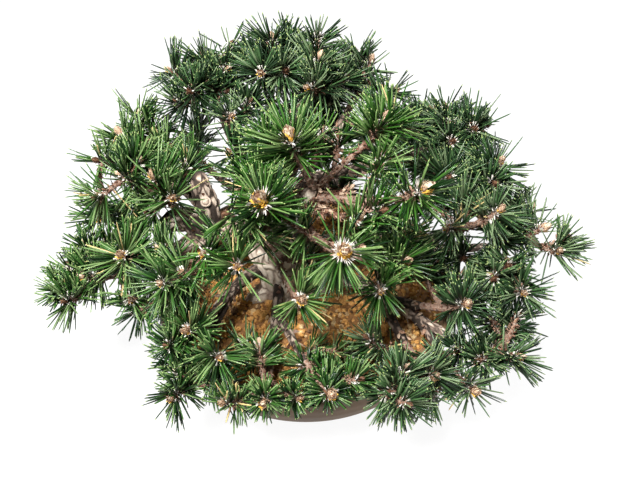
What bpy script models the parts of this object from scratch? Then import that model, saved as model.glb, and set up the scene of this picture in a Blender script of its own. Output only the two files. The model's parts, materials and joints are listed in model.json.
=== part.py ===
# A dwarf black pine grown as a bonsai: a round bowl pot full of soil, one leaning trunk with a root
# flare, and boughs that each end in a mass of shoots, with needles standing out round every bud.
# Metres, +Z up. The origin is the middle of the pot's flat underside, and the plant faces -Y.
# Headings are degrees seen from above: 0 is right (+X), 90 is back (+Y), -90 is front.

import math
import random
from collections import namedtuple

import bmesh
import bpy
from mathutils import Vector
from mathutils.geometry import interpolate_bezier, intersect_point_line

UP = Vector((0, 0, 1))
GAP = 0.0003  # between pieces that touch
NUDGE = 0.002  # how far each way a line's direction is read
NEARLY_ALONG = 0.95
TINY = 1e-16

# Pot: a bowl whose wall is an arc from the lip down to a narrower foot
POT_RADIUS = 0.130
POT_HEIGHT = 0.070
FOOT_RADIUS = 0.080
FOOT_HEIGHT = 0.005
LIP_WIDTH = 0.011
WALL = 0.009
POT_FLOOR = 0.010
POT_SIDES = 32
WALL_STEPS = 4
LIP_STEPS = 3
SHARP_EDGE = 35  # degrees

# Soil: flat under the roots, falling away to the wall
SOIL_TOP = 0.0655
SOIL_FLAT_RADIUS = 0.066
SOIL_EDGE = 0.058

# Trunk: its centre line, its radius at each of those points, and the flare of its surface roots
TRUNK_LINE = (
    (-0.018, -0.004, SOIL_TOP + GAP),
    (-0.019, -0.003, 0.078),
    (-0.027, 0.000, 0.096),
    (-0.035, 0.002, 0.120),
    (-0.026, -0.004, 0.146),
    (-0.005, -0.014, 0.168),
    (0.006, -0.020, 0.190),
)
TRUNK_RADII = (0.0235, 0.0200, 0.0175, 0.0160, 0.0130, 0.0085, 0.0050)
TRUNK_BENDS = 6  # points on its smooth line between one given point and the next
TRUNK_SIDES = 20
TRUNK_STEPS = 12
TRUNK_STEP_GROWTH = 1.6  # above 1, the rings lie closer at the root flare
ROOT_REACH = 0.017
ROOT_FADE = 0.009  # height over which the roots melt into the trunk
ROOTS = 5
ROOT_TURN = 0.9  # radians, where the first root points
ROOT_SHARPNESS = 1.5
ROOT_LOPSIDED = 0.25  # how much shorter the roots are on one side

# Boughs and shoots
LINE_POINTS = 25
BOUGH_SIDES = 6
BOUGH_STEPS = 6
STEM_SIDES = 5
STEM_STEPS = 4
TWIG_SIDES = 3
TWIG_STEPS = 2
STEM = 0.046  # the end of a limb that belongs to its mass
STEM_RADIUS = 0.0030
SHOOT_RADIUS = 0.0020
TWIG_RADIUS = 0.0018
LEAVING_LIFT = 0.12  # how much a bough rises as it leaves, against how far it goes out
LEAVING_PULL = 0.38  # shares of a limb's reach over which it keeps its first and its last direction
ARRIVING_PULL = 0.30
UPTURN = 0.8  # how strongly a shoot turns up at its end
UPTURN_VARIES = 0.2
FIRST_SIDE = 0.30  # the share of the stem where the side shoots start, and the share they fill
SIDE_STRETCH = 0.55
SIDE_REACH = 0.037
SIDE_SPREAD = 0.09  # how much the side shoots' reach varies
SIDE_SWAY = 4  # degrees
SIDE_LIFT = (6, 28)  # degrees
CLEAR = 0.0009  # kept between a twig and a limb that it passes
POT_CLEAR = 0.002
POT_SAMPLES = 5
SHOOT_SPACING = 0.014

# Tuft: a slim core round the end of a shoot, with a needle on each of its three-cornered facets
CORE_SIDES = 4
CORE_STATIONS = ((-0.015, 0.0034), (-0.007, 0.0040), (0.001, 0.0034))
CORE_TAIL = -0.021
BUD_TIP = 0.008
NEEDLE_ANGLES = (92, 78, 64, 50, 26)  # from the shoot, from the lowest ring of needles to the highest
ANGLE_VARIES = 6
NEEDLE_SWAY = 0.12
NEEDLE = 0.028
TOP_NEEDLE = 0.034
TOP_HEIGHT = 0.185  # shoots that end higher than this carry the longer needles
NEEDLE_VARIES = 0.10
SHORTER = (1.0, 0.8, 0.6)  # a needle is tried at these shares of its length before it is skipped
NEEDLE_CLEAR = 0.0026
SPACE_MARGIN = 0.0016
NEIGHBOURS = 0.100  # shoots that end farther apart than this can't meet
NEEDLE_GIRTHS = ((0.1, 0.5, 0.0014), (0.5, 1.0, 0.0007))  # (from, to, radius) along a needle

Mass = namedtuple("Mass", "name parent at tip girth leaves sides")
Shoot = namedtuple("Shoot", "line tip axis")

# Each limb: what it grows from and how far along that, where its leading shoot ends, its radius at
# the root (None where a mass stands straight on the trunk), the heading it leaves by (None: straight
# to its end), and the headings of its side shoots.
MASSES = (
    Mass("top", "trunk", 1.00, (-0.010, -0.027, 0.240), None, None, (70, 150)),
    Mass("crown_left", "trunk", 0.80, (-0.029, -0.074, 0.222), None, None, (120, 150, -150)),
    Mass("crown_front", "trunk", 0.74, (0.026, -0.091, 0.192), None, None, (95, -35)),
    Mass("crown_right", "trunk", 0.90, (0.082, -0.052, 0.214), None, None, (-30, 60, -28)),
    Mass("crown_back_right", "trunk", 0.94, (0.059, 0.019, 0.224), None, None, (80, -10, 40)),
    Mass("left_front", "trunk", 0.66, (-0.061, -0.066, 0.178), 0.0055, None, (-178, -125, -75)),
    Mass("centre", "trunk", 0.42, (-0.003, -0.088, 0.140), None, None, (-33, -115)),
    Mass("front_right", "trunk", 0.55, (0.073, -0.058, 0.150), 0.0055, None, (-38, -87, 60)),
    Mass("left_outer", "trunk", 0.44, (-0.172, -0.046, 0.122), 0.0110, 165, (125, -65, 132, -130)),
    Mass("left_mid", "left_outer", 0.88, (-0.139, -0.052, 0.150), None, None, ()),
    Mass("left", "left_outer", 0.50, (-0.116, -0.005, 0.188), 0.0050, None, (80, -64, 167)),
    Mass("left_back", "left_outer", 0.38, (-0.157, 0.069, 0.175), 0.0060, 100, (88, -138, 88)),
    Mass("left_side", "left_outer", 0.24, (-0.090, -0.073, 0.152), 0.0050, None, (170, -129)),
    Mass("front_left", "trunk", 0.19, (-0.087, -0.100, 0.120), 0.0065, 205, (165, -133, -60)),
    Mass("front_left_low", "front_left", 0.62, (-0.098, -0.131, 0.082), 0.0040, None, (170, -20)),
    Mass("front", "trunk", 0.13, (-0.030, -0.142, 0.090), 0.0055, None, (-48, 60, -150, 100)),
    Mass("front_mid", "front", 0.48, (0.018, -0.139, 0.096), 0.0040, None, (-14,)),
    Mass("right_low", "trunk", 0.16, (0.161, -0.102, 0.092), 0.0085, 0, (38, -80, 58)),
    Mass("right_front", "right_low", 0.52, (0.095, -0.120, 0.092), 0.0055, -75, (165, 125)),
    Mass("right_front_low", "right_low", 0.74, (0.126, -0.124, 0.080), 0.0040, None, (-125, 60)),
    Mass("right_mid", "right_low", 0.60, (0.121, -0.076, 0.122), 0.0045, None, (52, 112, 165)),
    Mass("right_outer", "trunk", 0.34, (0.193, -0.002, 0.132), 0.0090, 0, (-95, 50, 95, -60)),
    Mass("right", "right_outer", 0.62, (0.152, -0.009, 0.158), 0.0045, None, (135, -150)),
    Mass("right_back", "right_outer", 0.46, (0.158, 0.038, 0.168), 0.0050, 60, (155, 100, 30)),
    Mass("back_right", "trunk", 0.50, (0.056, 0.133, 0.208), 0.0070, 60, (-15, 95, 30)),
    Mass("back_right_outer", "back_right", 0.40, (0.144, 0.086, 0.178), 0.0050, 20, (118, 95, -20)),
    Mass("back_left", "trunk", 0.62, (-0.030, 0.133, 0.228), 0.0070, 100, (127, 66, -102)),
    Mass("back", "back_left", 0.45, (0.011, 0.112, 0.222), 0.0045, None, (22, -60)),
    Mass("back_left_outer", "back_left", 0.30, (-0.091, 0.143, 0.205), 0.0055, 140, (-140, 172, -115, 58)),
    Mass("rear", "trunk", 0.36, (0.005, 0.150, 0.140), 0.0070, 80, (20, 160, 80)),
    Mass("rear_right", "rear", 0.42, (0.098, 0.130, 0.128), 0.0050, 30, (90, 0, -50)),
    Mass("rear_left", "rear", 0.34, (-0.112, 0.118, 0.132), 0.0055, 150, (200, 100, 250)),
)

# Slot name, base colour, roughness
CLAY = ("clay", (0.165, 0.130, 0.108, 1), 0.62)
SOIL = ("soil", (0.300, 0.120, 0.030, 1), 0.95)
BARK = ("bark", (0.230, 0.180, 0.140, 1), 0.90)
NEEDLES = ("needles", (0.035, 0.115, 0.020, 1), 0.45)


def material(name, colour, roughness):
    made = bpy.data.materials.get(name) or bpy.data.materials.new(name)
    made.use_nodes = True
    made.diffuse_color = colour
    shader = made.node_tree.nodes["Principled BSDF"]
    shader.inputs["Base Color"].default_value = colour
    shader.inputs["Roughness"].default_value = roughness
    shader.inputs["Metallic"].default_value = 0.0
    return made


def turns(count):
    return [2 * math.pi * k / count for k in range(count)]


def object_from(bm, name, finish=None):
    bmesh.ops.recalc_face_normals(bm, faces=bm.faces)
    mesh = bpy.data.meshes.new(name)
    bm.to_mesh(mesh)
    bm.free()
    if finish:
        mesh.materials.append(material(*finish))
    return bpy.data.objects.new(name, mesh)


def heading(degrees):
    angle = math.radians(degrees)
    return Vector((math.cos(angle), math.sin(angle), 0))


def length_of(line):
    return sum((b - a).length for a, b in zip(line, line[1:]))


def along(line, distance):
    for a, b in zip(line, line[1:]):
        step = (b - a).length
        if distance <= step or b is line[-1]:
            return a.lerp(b, min(distance / step, 1.0))
        distance -= step


def stretch(line, start, end, steps):
    return [along(line, start + (end - start) * i / steps) for i in range(steps + 1)]


def span(a, b, c, d):
    """How near the stretch from a to b comes to the stretch from c to d."""
    u, v, w = b - a, d - c, a - c
    uu, uv, vv, uw, vw = u.dot(u), u.dot(v), v.dot(v), u.dot(w), v.dot(w)
    spread = uu * vv - uv * uv
    s = max(0.0, min(1.0, (uv * vw - vv * uw) / spread)) if spread > TINY else 0.0
    t = max(0.0, min(1.0, (uv * s + vw) / vv)) if vv > TINY else 0.0
    s = max(0.0, min(1.0, (uv * t - uw) / uu)) if uu > TINY else 0.0
    return (a + u * s - c - v * t).length


def direction(line, distance):
    """The way the line runs at a distance along it, smoothed over a short stretch."""
    ahead = along(line, distance + NUDGE)
    behind = along(line, max(distance - NUDGE, 0))
    return (ahead - behind).normalized()


def tube(bm, points, ways, radii, sides, swell=None):
    """A closed limb of rings square to its ways. swell(angle, height) adds to the radius."""
    across = Vector((1, 0, 0))
    rings = []
    for point, ahead, radius in zip(points, ways, radii):
        if abs(across.dot(ahead)) > NEARLY_ALONG:
            across = Vector((0, 1, 0))
        across = (across - ahead * across.dot(ahead)).normalized()
        beside = ahead.cross(across)
        ring = []
        for angle in turns(sides):
            out = radius + (swell(angle, point.z - points[0].z) if swell else 0)
            ring.append(bm.verts.new(point + (across * math.cos(angle) + beside * math.sin(angle)) * out))
        rings.append(ring)
    for lower, upper in zip(rings, rings[1:]):
        for k in range(sides):
            n = (k + 1) % sides
            bm.faces.new((lower[k], lower[n], upper[n], upper[k]))
    bm.faces.new(rings[0][::-1])
    bm.faces.new(rings[-1])


def turned(name, profile, finish):
    """A round solid from (radius, height) points that start and end on the axis."""
    bm = bmesh.new()
    rings = []
    for radius, height in profile:
        if radius == 0:
            rings.append([bm.verts.new((0, 0, height))])
            continue
        ring = [(radius * math.cos(a), radius * math.sin(a), height) for a in turns(POT_SIDES)]
        rings.append([bm.verts.new(place) for place in ring])
    for lower, upper in zip(rings, rings[1:]):
        for k in range(POT_SIDES):
            n = (k + 1) % POT_SIDES
            below, above = len(lower), len(upper)
            corners = [lower[k % below], lower[n % below], upper[n % above], upper[k % above]]
            bm.faces.new(list(dict.fromkeys(corners)))
    made = object_from(bm, name, finish)
    made.data.shade_smooth()
    made.data.set_sharp_from_angle(angle=math.radians(SHARP_EDGE))
    return made


def bowl_radius(height):
    """The wall's outer radius: an arc, upright at the lip and most sloped at the foot."""
    drop = POT_HEIGHT - LIP_WIDTH / 2 - FOOT_HEIGHT
    inward = POT_RADIUS - FOOT_RADIUS
    turn = 2 * math.atan2(inward, drop)
    arc = drop / math.sin(turn)
    below = min(max(POT_HEIGHT - LIP_WIDTH / 2 - height, 0), drop)
    return POT_RADIUS - arc * (1 - math.sqrt(1 - (below / arc) ** 2))


def wall_heights(low, high):
    return [low + (high - low) * i / WALL_STEPS for i in range(WALL_STEPS + 1)]


def make_pot():
    lip = LIP_WIDTH / 2
    outer = [(bowl_radius(z), z) for z in wall_heights(FOOT_HEIGHT, POT_HEIGHT - lip)]
    bends = [math.pi * i / (2 * LIP_STEPS) for i in range(1, 2 * LIP_STEPS)]
    rim = [(POT_RADIUS - lip + lip * math.cos(a), POT_HEIGHT - lip + lip * math.sin(a)) for a in bends]
    inner = [(bowl_radius(z) - WALL, z) for z in wall_heights(POT_FLOOR, SOIL_EDGE)][::-1]
    profile = [(0, 0), (FOOT_RADIUS, 0)] + outer + rim + inner + [(0, POT_FLOOR)]
    return turned("pot", profile, CLAY)


def make_soil():
    side = [(bowl_radius(z) - WALL - GAP, z) for z in wall_heights(POT_FLOOR, SOIL_EDGE)]
    side[0] = (side[0][0], POT_FLOOR + GAP)
    profile = [(0, POT_FLOOR + GAP)] + side + [(SOIL_FLAT_RADIUS, SOIL_TOP), (0, SOIL_TOP)]
    return turned("soil", profile, SOIL)


def smooth_line(points):
    """A smooth line through the points, with even steps."""
    points = [Vector(p) for p in points]
    ends = [points[0] - (points[1] - points[0])] + points + [points[-1] + (points[-1] - points[-2])]
    line = [points[0]]
    for before, a, b, after in zip(ends, ends[1:], ends[2:], ends[3:]):
        line += interpolate_bezier(a, a + (b - before) / 6, b - (after - a) / 6, b, TRUNK_BENDS + 1)[1:]
    return line


def trunk_radius(share):
    place = share * (len(TRUNK_RADII) - 1)
    low = min(int(place), len(TRUNK_RADII) - 2)
    return TRUNK_RADII[low] + (TRUNK_RADII[low + 1] - TRUNK_RADII[low]) * (place - low)


def root_swell(angle, height):
    lobe = (0.5 + 0.5 * math.cos(ROOTS * angle + ROOT_TURN)) ** ROOT_SHARPNESS
    side = 1 - ROOT_LOPSIDED * (0.5 - 0.5 * math.cos(angle + 2 * ROOT_TURN))
    return ROOT_REACH * lobe * side * math.exp(-height / ROOT_FADE)


class Limb:
    """A trunk or bough: its whole line, of which it fills the stretch from its root to its end."""

    def __init__(self, line, radii, end):
        self.line, self.radii, self.end = line, radii, end
        self.length = length_of(line)

    def radius(self, distance):
        return self.radii(distance / self.length)

    def pieces(self):
        points = stretch(self.line, 0, self.end, BOUGH_STEPS)
        for i, (a, b) in enumerate(zip(points, points[1:])):
            yield a, b, self.radius(self.end * i / BOUGH_STEPS)


def trunk_limb():
    line = smooth_line(TRUNK_LINE)
    return Limb(line, trunk_radius, length_of(line))


def limb_of(mass, parents):
    """The line runs from its parent's middle to the leading shoot's tip, and turns up towards it."""
    parent = parents[mass.parent]
    root = along(parent.line, mass.at * parent.end)
    tip = Vector(mass.tip)
    reach = (tip - root).length
    flat = (tip - root).normalized()
    out = flat if mass.leaves is None else (heading(mass.leaves) + UP * LEAVING_LIFT).normalized()
    ends = (flat + UP * UPTURN).normalized()
    first, last = root + out * reach * LEAVING_PULL, tip - ends * reach * ARRIVING_PULL
    line = interpolate_bezier(root, first, last, tip, LINE_POINTS)
    root_radius = mass.girth or STEM_RADIUS

    def radii(share):
        return root_radius + (SHOOT_RADIUS - root_radius) * share

    whole = length_of(line)
    return Limb(line, radii, whole - STEM if mass.girth else 0.0)


def stem_start(mass, limb):
    """Just past the end of its bough, or inside its parent, whose shape is then cut away."""
    return limb.end + GAP if mass.girth or mass.at == 1 else 0.0


def shoots_of(mass, limb, blocked):
    """The leading shoot, and side shoots that leave the stem by turns, each ending in a tuft.
    A side shoot that would touch a limb or crowd another shoot is skipped."""
    rule = random.Random(mass.name)
    start = stem_start(mass, limb)
    tip = limb.line[-1]
    line = stretch(limb.line, start, limb.length, STEM_STEPS)
    shoots = [Shoot(line, tip, (tip - limb.line[-2]).normalized())]
    stem = limb.length - start
    for i, side in enumerate(mass.sides):
        share = FIRST_SIDE + SIDE_STRETCH * i / len(mass.sides)
        root = along(limb.line, start + stem * share)
        lift = math.radians(rule.uniform(*SIDE_LIFT))
        reach = SIDE_REACH * rule.uniform(1 - SIDE_SPREAD, 1 + SIDE_SPREAD)
        way = heading(side + rule.uniform(-SIDE_SWAY, SIDE_SWAY))
        end = root + (way * math.cos(lift) + UP * math.sin(lift)) * reach
        axis = (way + UP * (UPTURN + rule.uniform(-UPTURN_VARIES, UPTURN_VARIES))).normalized()
        first, last = root + way * reach * LEAVING_PULL, end - axis * reach * ARRIVING_PULL
        line = interpolate_bezier(root, first, last, end, TWIG_STEPS + 1)
        crowded = any((end - other.tip).length < SHOOT_SPACING for other in shoots)
        if not crowded and clear_of(line, end + axis * BUD_TIP, blocked):
            shoots.append(Shoot(line, end, axis))
    return shoots


def off_pot(start, end):
    """True where a straight stretch keeps above the rim, or outside it."""
    for i in range(POT_SAMPLES + 1):
        place = start.lerp(end, i / POT_SAMPLES)
        if place.z < POT_HEIGHT + POT_CLEAR and place.xy.length < POT_RADIUS + POT_CLEAR:
            return False
    return True


def clear_of(line, bud, blocked):
    """True where a twig and the core of its tuft pass the pot and every limb that isn't their own."""
    ways = [(a, b, TWIG_RADIUS) for a, b in zip(line, line[1:])]
    ways.append((line[-2], bud, CORE_STATIONS[1][1] + NEEDLE_CLEAR))
    return all(off_pot(a, b) for a, b, radius in ways) and all(
        span(a, b, c, d) > radius + other + CLEAR
        for a, b, radius in ways
        for c, d, other in blocked
    )


def needle_facets(bm, shoot):
    """The tuft's core round the shoot's end. Returns (facet, level) for each facet that carries a
    needle, from the lowest ring up."""
    across = shoot.axis.orthogonal().normalized()
    beside = shoot.axis.cross(across)
    rings = []
    for station, radius in CORE_STATIONS:
        centre = shoot.tip + shoot.axis * station
        ring = [across * math.cos(a) + beside * math.sin(a) for a in turns(CORE_SIDES)]
        rings.append([bm.verts.new(centre + out * radius) for out in ring])
    tail = bm.verts.new(shoot.tip + shoot.axis * CORE_TAIL)
    bud = bm.verts.new(shoot.tip + shoot.axis * BUD_TIP)
    facets = []
    for k in range(CORE_SIDES):
        n = (k + 1) % CORE_SIDES
        bm.faces.new((tail, rings[0][n], rings[0][k]))
        for level, (lower, upper) in enumerate(zip(rings, rings[1:])):
            facets.append((bm.faces.new((lower[k], lower[n], upper[n])), 2 * level))
            facets.append((bm.faces.new((lower[k], upper[n], upper[k])), 2 * level + 1))
        facets.append((bm.faces.new((rings[-1][k], rings[-1][n], bud)), 2 * len(rings) - 2))
    return facets


def crosses(root, tip, others):
    """True where a needle would touch one of the needles already placed on the mass's other shoots."""
    mine = [(root.lerp(tip, low), root.lerp(tip, high), radius) for low, high, radius in NEEDLE_GIRTHS]
    return any(
        span(a, b, c, d) < radius + other
        for a, b, radius in mine
        for c, d, other in others
    )


def free_share(root, tip, walls, blocked, others):
    """The largest of the tried shares at which a needle stays in its space and touches nothing."""
    for share in SHORTER:
        end = root.lerp(tip, share)
        inside = all((middle - end).dot(normal) > SPACE_MARGIN for middle, normal in walls)
        if not inside or not off_pot(root, end) or crosses(root, end, others):
            continue
        if all(span(root, end, a, b) > radius + NEEDLE_CLEAR for a, b, radius in blocked):
            return share
    return 0


def tuft(shoot, walls, blocked, placed, rule):
    """The core with its needles poked out of its facets. Adds the needles to those placed."""
    bm = bmesh.new()
    length = TOP_NEEDLE if shoot.tip.z > TOP_HEIGHT else NEEDLE
    mine = []
    for facet, level in needle_facets(bm, shoot):
        root = facet.calc_center_median()
        out = root - shoot.tip
        out = (out - shoot.axis * out.dot(shoot.axis)).normalized()
        angle = math.radians(NEEDLE_ANGLES[level] + rule.uniform(-ANGLE_VARIES, ANGLE_VARIES))
        sway = shoot.axis.cross(out) * rule.uniform(-NEEDLE_SWAY, NEEDLE_SWAY)
        way = (shoot.axis * math.cos(angle) + (out + sway) * math.sin(angle)).normalized()
        tip = root + way * length * rule.uniform(1 - NEEDLE_VARIES, 1 + NEEDLE_VARIES)
        share = free_share(root, tip, walls, blocked, near(placed, shoot.tip, 2 * length))
        if not share:
            continue
        tip = root.lerp(tip, share)
        bmesh.ops.poke(bm, faces=[facet])["verts"][0].co = tip
        mine += [(root.lerp(tip, low), root.lerp(tip, high), radius) for low, high, radius in NEEDLE_GIRTHS]
    placed += mine
    return object_from(bm, "tuft")


def near(blocked, place, within):
    return [
        (a, b, radius) for a, b, radius in blocked
        if (intersect_point_line(place, a, b)[0] - place).length < within + (b - a).length
    ]


def spaces(shoot, mine, shoots):
    """The walls half way to every shoot of another mass: (a point on the wall, the way out)."""
    for name, others in shoots.items():
        for other in others if name != mine else ():
            apart = other.tip - shoot.tip
            if apart.length < NEIGHBOURS:
                yield (other.tip + shoot.tip) / 2, apart.normalized()


def largest_body(mesh):
    """Keeps the outer skin of the largest body: scraps are dropped and sealed hollows filled."""
    bm = bmesh.new()
    bm.from_mesh(mesh)
    left, best, most = set(bm.verts), None, 0
    while left:
        found, edge = set(), [left.pop()]
        while edge:
            vert = edge.pop()
            found.add(vert)
            edge += [v for e in vert.link_edges for v in e.verts if v in left]
            left.difference_update(edge)
        faces = {face for vert in found for face in vert.link_faces}
        volume = sum(
            f.calc_area() * f.normal.dot(f.calc_center_median()) for f in faces
        )
        if volume > most:
            best, most = found, volume
    bmesh.ops.delete(bm, geom=[v for v in bm.verts if v not in best], context="VERTS")
    bmesh.ops.triangulate(bm, faces=bm.faces)
    bm.to_mesh(mesh)
    bm.free()


def combine(body, others, operation):
    """Applies one Boolean between the body and a collection of the others, then removes them."""
    scene = bpy.context.scene.collection
    group = bpy.data.collections.new("others")
    scene.children.link(group)
    scene.objects.link(body)
    for other in others:
        group.objects.link(other)
    boolean = body.modifiers.new("combine", "BOOLEAN")
    boolean.operation = operation
    boolean.operand_type = "COLLECTION"
    boolean.collection = group
    bpy.context.view_layer.update()
    mesh = bpy.data.meshes.new_from_object(body.evaluated_get(bpy.context.evaluated_depsgraph_get()))
    name = body.name
    for used in [body] + others:
        bpy.data.objects.remove(used)
    bpy.data.collections.remove(group)
    return bpy.data.objects.new(name, mesh)


def limb_object(name, limb, start, end, steps, sides, extra=0.0):
    bm = bmesh.new()
    places = [start + (end - start) * i / steps for i in range(steps + 1)]
    points = [along(limb.line, place) for place in places]
    ways = [direction(limb.line, place) for place in places]
    tube(bm, points, ways, [limb.radius(place) + extra for place in places], sides)
    return object_from(bm, name)


def make_trunk(limb, extra=0.0):
    bm = bmesh.new()
    shares = [(i / TRUNK_STEPS) ** TRUNK_STEP_GROWTH for i in range(TRUNK_STEPS + 1)]
    points = [along(limb.line, share * limb.length) for share in shares]
    ways = [UP] + [direction(limb.line, share * limb.length) for share in shares[1:]]
    tube(bm, points, ways, [trunk_radius(share) + extra for share in shares], TRUNK_SIDES, root_swell)
    return object_from(bm, "trunk")


def parent_cutter(mass, limbs):
    """The parent grown by the gap, so that what grows from it ends just clear of its skin."""
    parent = limbs[mass.parent]
    if mass.parent == "trunk":
        return make_trunk(parent, GAP)
    return limb_object("cutter", parent, 0, parent.end, BOUGH_STEPS, BOUGH_SIDES, GAP)


def main():
    for old in list(bpy.data.objects):
        bpy.data.objects.remove(old)
    scene = bpy.context.scene.collection
    scene.objects.link(make_pot())
    scene.objects.link(make_soil())

    limbs = {"trunk": trunk_limb()}
    for mass in MASSES:
        limbs[mass.name] = limb_of(mass, limbs)
    trunk = make_trunk(limbs["trunk"])
    trunk.data.materials.append(material(*BARK))
    scene.objects.link(trunk)

    wood = [piece for limb in limbs.values() if limb.end for piece in limb.pieces()]
    shoots, twigs = {}, {}
    for mass in MASSES:
        others = [piece for pieces in twigs.values() for piece in pieces]
        own = list(limbs[mass.name].pieces())[-2:] if mass.girth else []
        blocked = [piece for piece in wood if piece not in own] + others
        shoots[mass.name] = shoots_of(mass, limbs[mass.name], blocked)
        for i, shoot in enumerate(shoots[mass.name]):
            twigs[mass.name, i] = [(a, b, TWIG_RADIUS) for a, b in zip(shoot.line, shoot.line[1:])]

    for mass in MASSES:
        limb = limbs[mass.name]
        if mass.girth:
            bough = limb_object(mass.name + "_bough", limb, 0, limb.end, BOUGH_STEPS, BOUGH_SIDES)
            bough = combine(bough, [parent_cutter(mass, limbs)], "DIFFERENCE")
            largest_body(bough.data)
            bough.data.materials.clear()
            bough.data.materials.append(material(*BARK))
            scene.objects.link(bough)
        scene.objects.link(make_mass(mass, limbs, shoots, twigs, wood))


def make_mass(mass, limbs, shoots, twigs, wood):
    rule = random.Random(mass.name + " needles")
    limb = limbs[mass.name]
    start = stem_start(mass, limb)
    stem = limb_object(mass.name + "_needles", limb, start, limb.length, STEM_STEPS, STEM_SIDES)
    if not mass.girth:
        stem = combine(stem, [parent_cutter(mass, limbs)], "DIFFERENCE")
        largest_body(stem.data)
    pieces = []
    for shoot in shoots[mass.name][1:]:
        bm = bmesh.new()
        ways = [(b - a).normalized() for a, b in zip(shoot.line, shoot.line[1:])]
        tube(bm, shoot.line, ways[:1] + ways, [TWIG_RADIUS] * len(shoot.line), TWIG_SIDES)
        pieces.append(object_from(bm, "twig"))
    placed = []
    for i, shoot in enumerate(shoots[mass.name]):
        walls = list(spaces(shoot, mass.name, shoots))
        others = [piece for key in twigs if key != (mass.name, i) for piece in twigs[key]]
        blocked = near(wood + others, shoot.tip, TOP_NEEDLE + STEM)
        pieces.append(tuft(shoot, walls, blocked, placed, rule))
    made = combine(stem, pieces, "UNION")
    largest_body(made.data)
    made.data.materials.clear()
    made.data.materials.append(material(*NEEDLES))
    return made


main()
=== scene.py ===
import itertools
import json
import math
import random
from collections import namedtuple

import bpy
import numpy as np
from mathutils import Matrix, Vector, noise
from mathutils.geometry import interpolate_bezier

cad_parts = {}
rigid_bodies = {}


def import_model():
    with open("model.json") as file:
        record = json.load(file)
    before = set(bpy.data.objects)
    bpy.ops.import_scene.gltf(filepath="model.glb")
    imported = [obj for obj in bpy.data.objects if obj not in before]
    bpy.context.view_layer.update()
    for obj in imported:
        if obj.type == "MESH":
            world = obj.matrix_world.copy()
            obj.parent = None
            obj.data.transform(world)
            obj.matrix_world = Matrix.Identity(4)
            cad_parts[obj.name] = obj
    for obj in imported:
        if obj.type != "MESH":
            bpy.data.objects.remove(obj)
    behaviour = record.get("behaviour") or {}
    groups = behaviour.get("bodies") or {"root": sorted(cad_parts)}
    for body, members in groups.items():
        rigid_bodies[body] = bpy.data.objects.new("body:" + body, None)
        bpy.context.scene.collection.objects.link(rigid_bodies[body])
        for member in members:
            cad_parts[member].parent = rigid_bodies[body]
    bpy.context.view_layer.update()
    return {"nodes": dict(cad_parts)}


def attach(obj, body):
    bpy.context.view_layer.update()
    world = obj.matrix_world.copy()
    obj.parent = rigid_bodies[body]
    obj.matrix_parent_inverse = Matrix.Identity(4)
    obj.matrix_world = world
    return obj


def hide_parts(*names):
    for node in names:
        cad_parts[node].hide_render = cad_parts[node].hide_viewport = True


# A dwarf black pine grown as a bonsai in a round clay bowl. The limbs and shoots grow by the same rule
# and the same seeds as the solids, and are carried on here to bark, scales, buds and needles.
# Metres, +Z up. Headings are degrees seen from above: 0 is right (+X), 90 is back, -90 is front.

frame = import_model()
up = Vector((0, 0, 1))
golden = math.pi * (3 - math.sqrt(5))
print("frame loaded:", len(frame["nodes"]), "nodes")


# Nodes and materials

# A node's output that can stand in sums: each operator adds its Math node
class Signal:
    def __init__(self, wiring, socket):
        self.wiring, self.socket = wiring, socket

    def maths(self, operation, *values):
        return self.wiring.node("Math", {"operation": operation}, dict(enumerate(values)))

    def __add__(self, other):
        return self.maths("ADD", self, other)

    def __sub__(self, other):
        return self.maths("SUBTRACT", self, other)

    def __rsub__(self, other):
        return self.maths("SUBTRACT", other, self)

    def __mul__(self, other):
        return self.maths("MULTIPLY", self, other)

    __radd__ = __add__
    __rmul__ = __mul__


class Wiring:
    def __init__(self, tree):
        self.tree = tree

    # One node: its type, its settings, then the values or links of its sockets
    def node(self, kind, settings, sockets, output=0):
        made = self.tree.nodes.new("ShaderNode" + kind)
        for name, value in settings.items():
            if name == "stops":
                for place, colour in value[len(made.color_ramp.elements):]:
                    made.color_ramp.elements.new(place)
                for stop, (place, colour) in zip(made.color_ramp.elements, value):
                    stop.position = place
                    stop.color = (*colour, 1)
            else:
                setattr(made, name, value)
        for name, value in sockets.items():
            self.feed(made.inputs[name], value)
        return Signal(self, made.outputs[output])

    def feed(self, socket, value):
        if isinstance(value, Signal):
            self.tree.links.new(value.socket, socket)
        elif isinstance(value, tuple) and len(value) == 3 and len(socket.default_value) == 4:
            socket.default_value = (*value, 1)
        else:
            socket.default_value = value


class Finish(Wiring):
    def __init__(self, name, colour, roughness):
        self.material = bpy.data.materials.new(name)
        self.material.use_nodes = True
        super().__init__(self.material.node_tree)
        self.shader = self.tree.nodes["Principled BSDF"]
        self.place = None
        self.wear({"Base Color": colour, "Roughness": roughness})

    def wear(self, sockets):
        for name, value in sockets.items():
            self.feed(self.shader.inputs[name], value)
        return self

    # Noise over the object's own coordinates, from 0 to 1, with grains of a size in metres
    def speckle(self, size, detail=3.0, roughness=0.55):
        if not self.place:
            self.place = self.node("TexCoord", {}, {}, "Object")
        return self.node("TexNoise", {}, {
            "Vector": self.place, "Scale": 1 / size, "Detail": detail, "Roughness": roughness,
        })

    def ramp(self, value, stops):
        return self.node("ValToRGB", {"stops": stops}, {"Fac": value})

    def bump(self, height, distance, strength=1.0):
        sockets = {"Height": height, "Distance": distance, "Strength": strength}
        return self.node("Bump", {}, sockets)


# Camera and light

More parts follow.
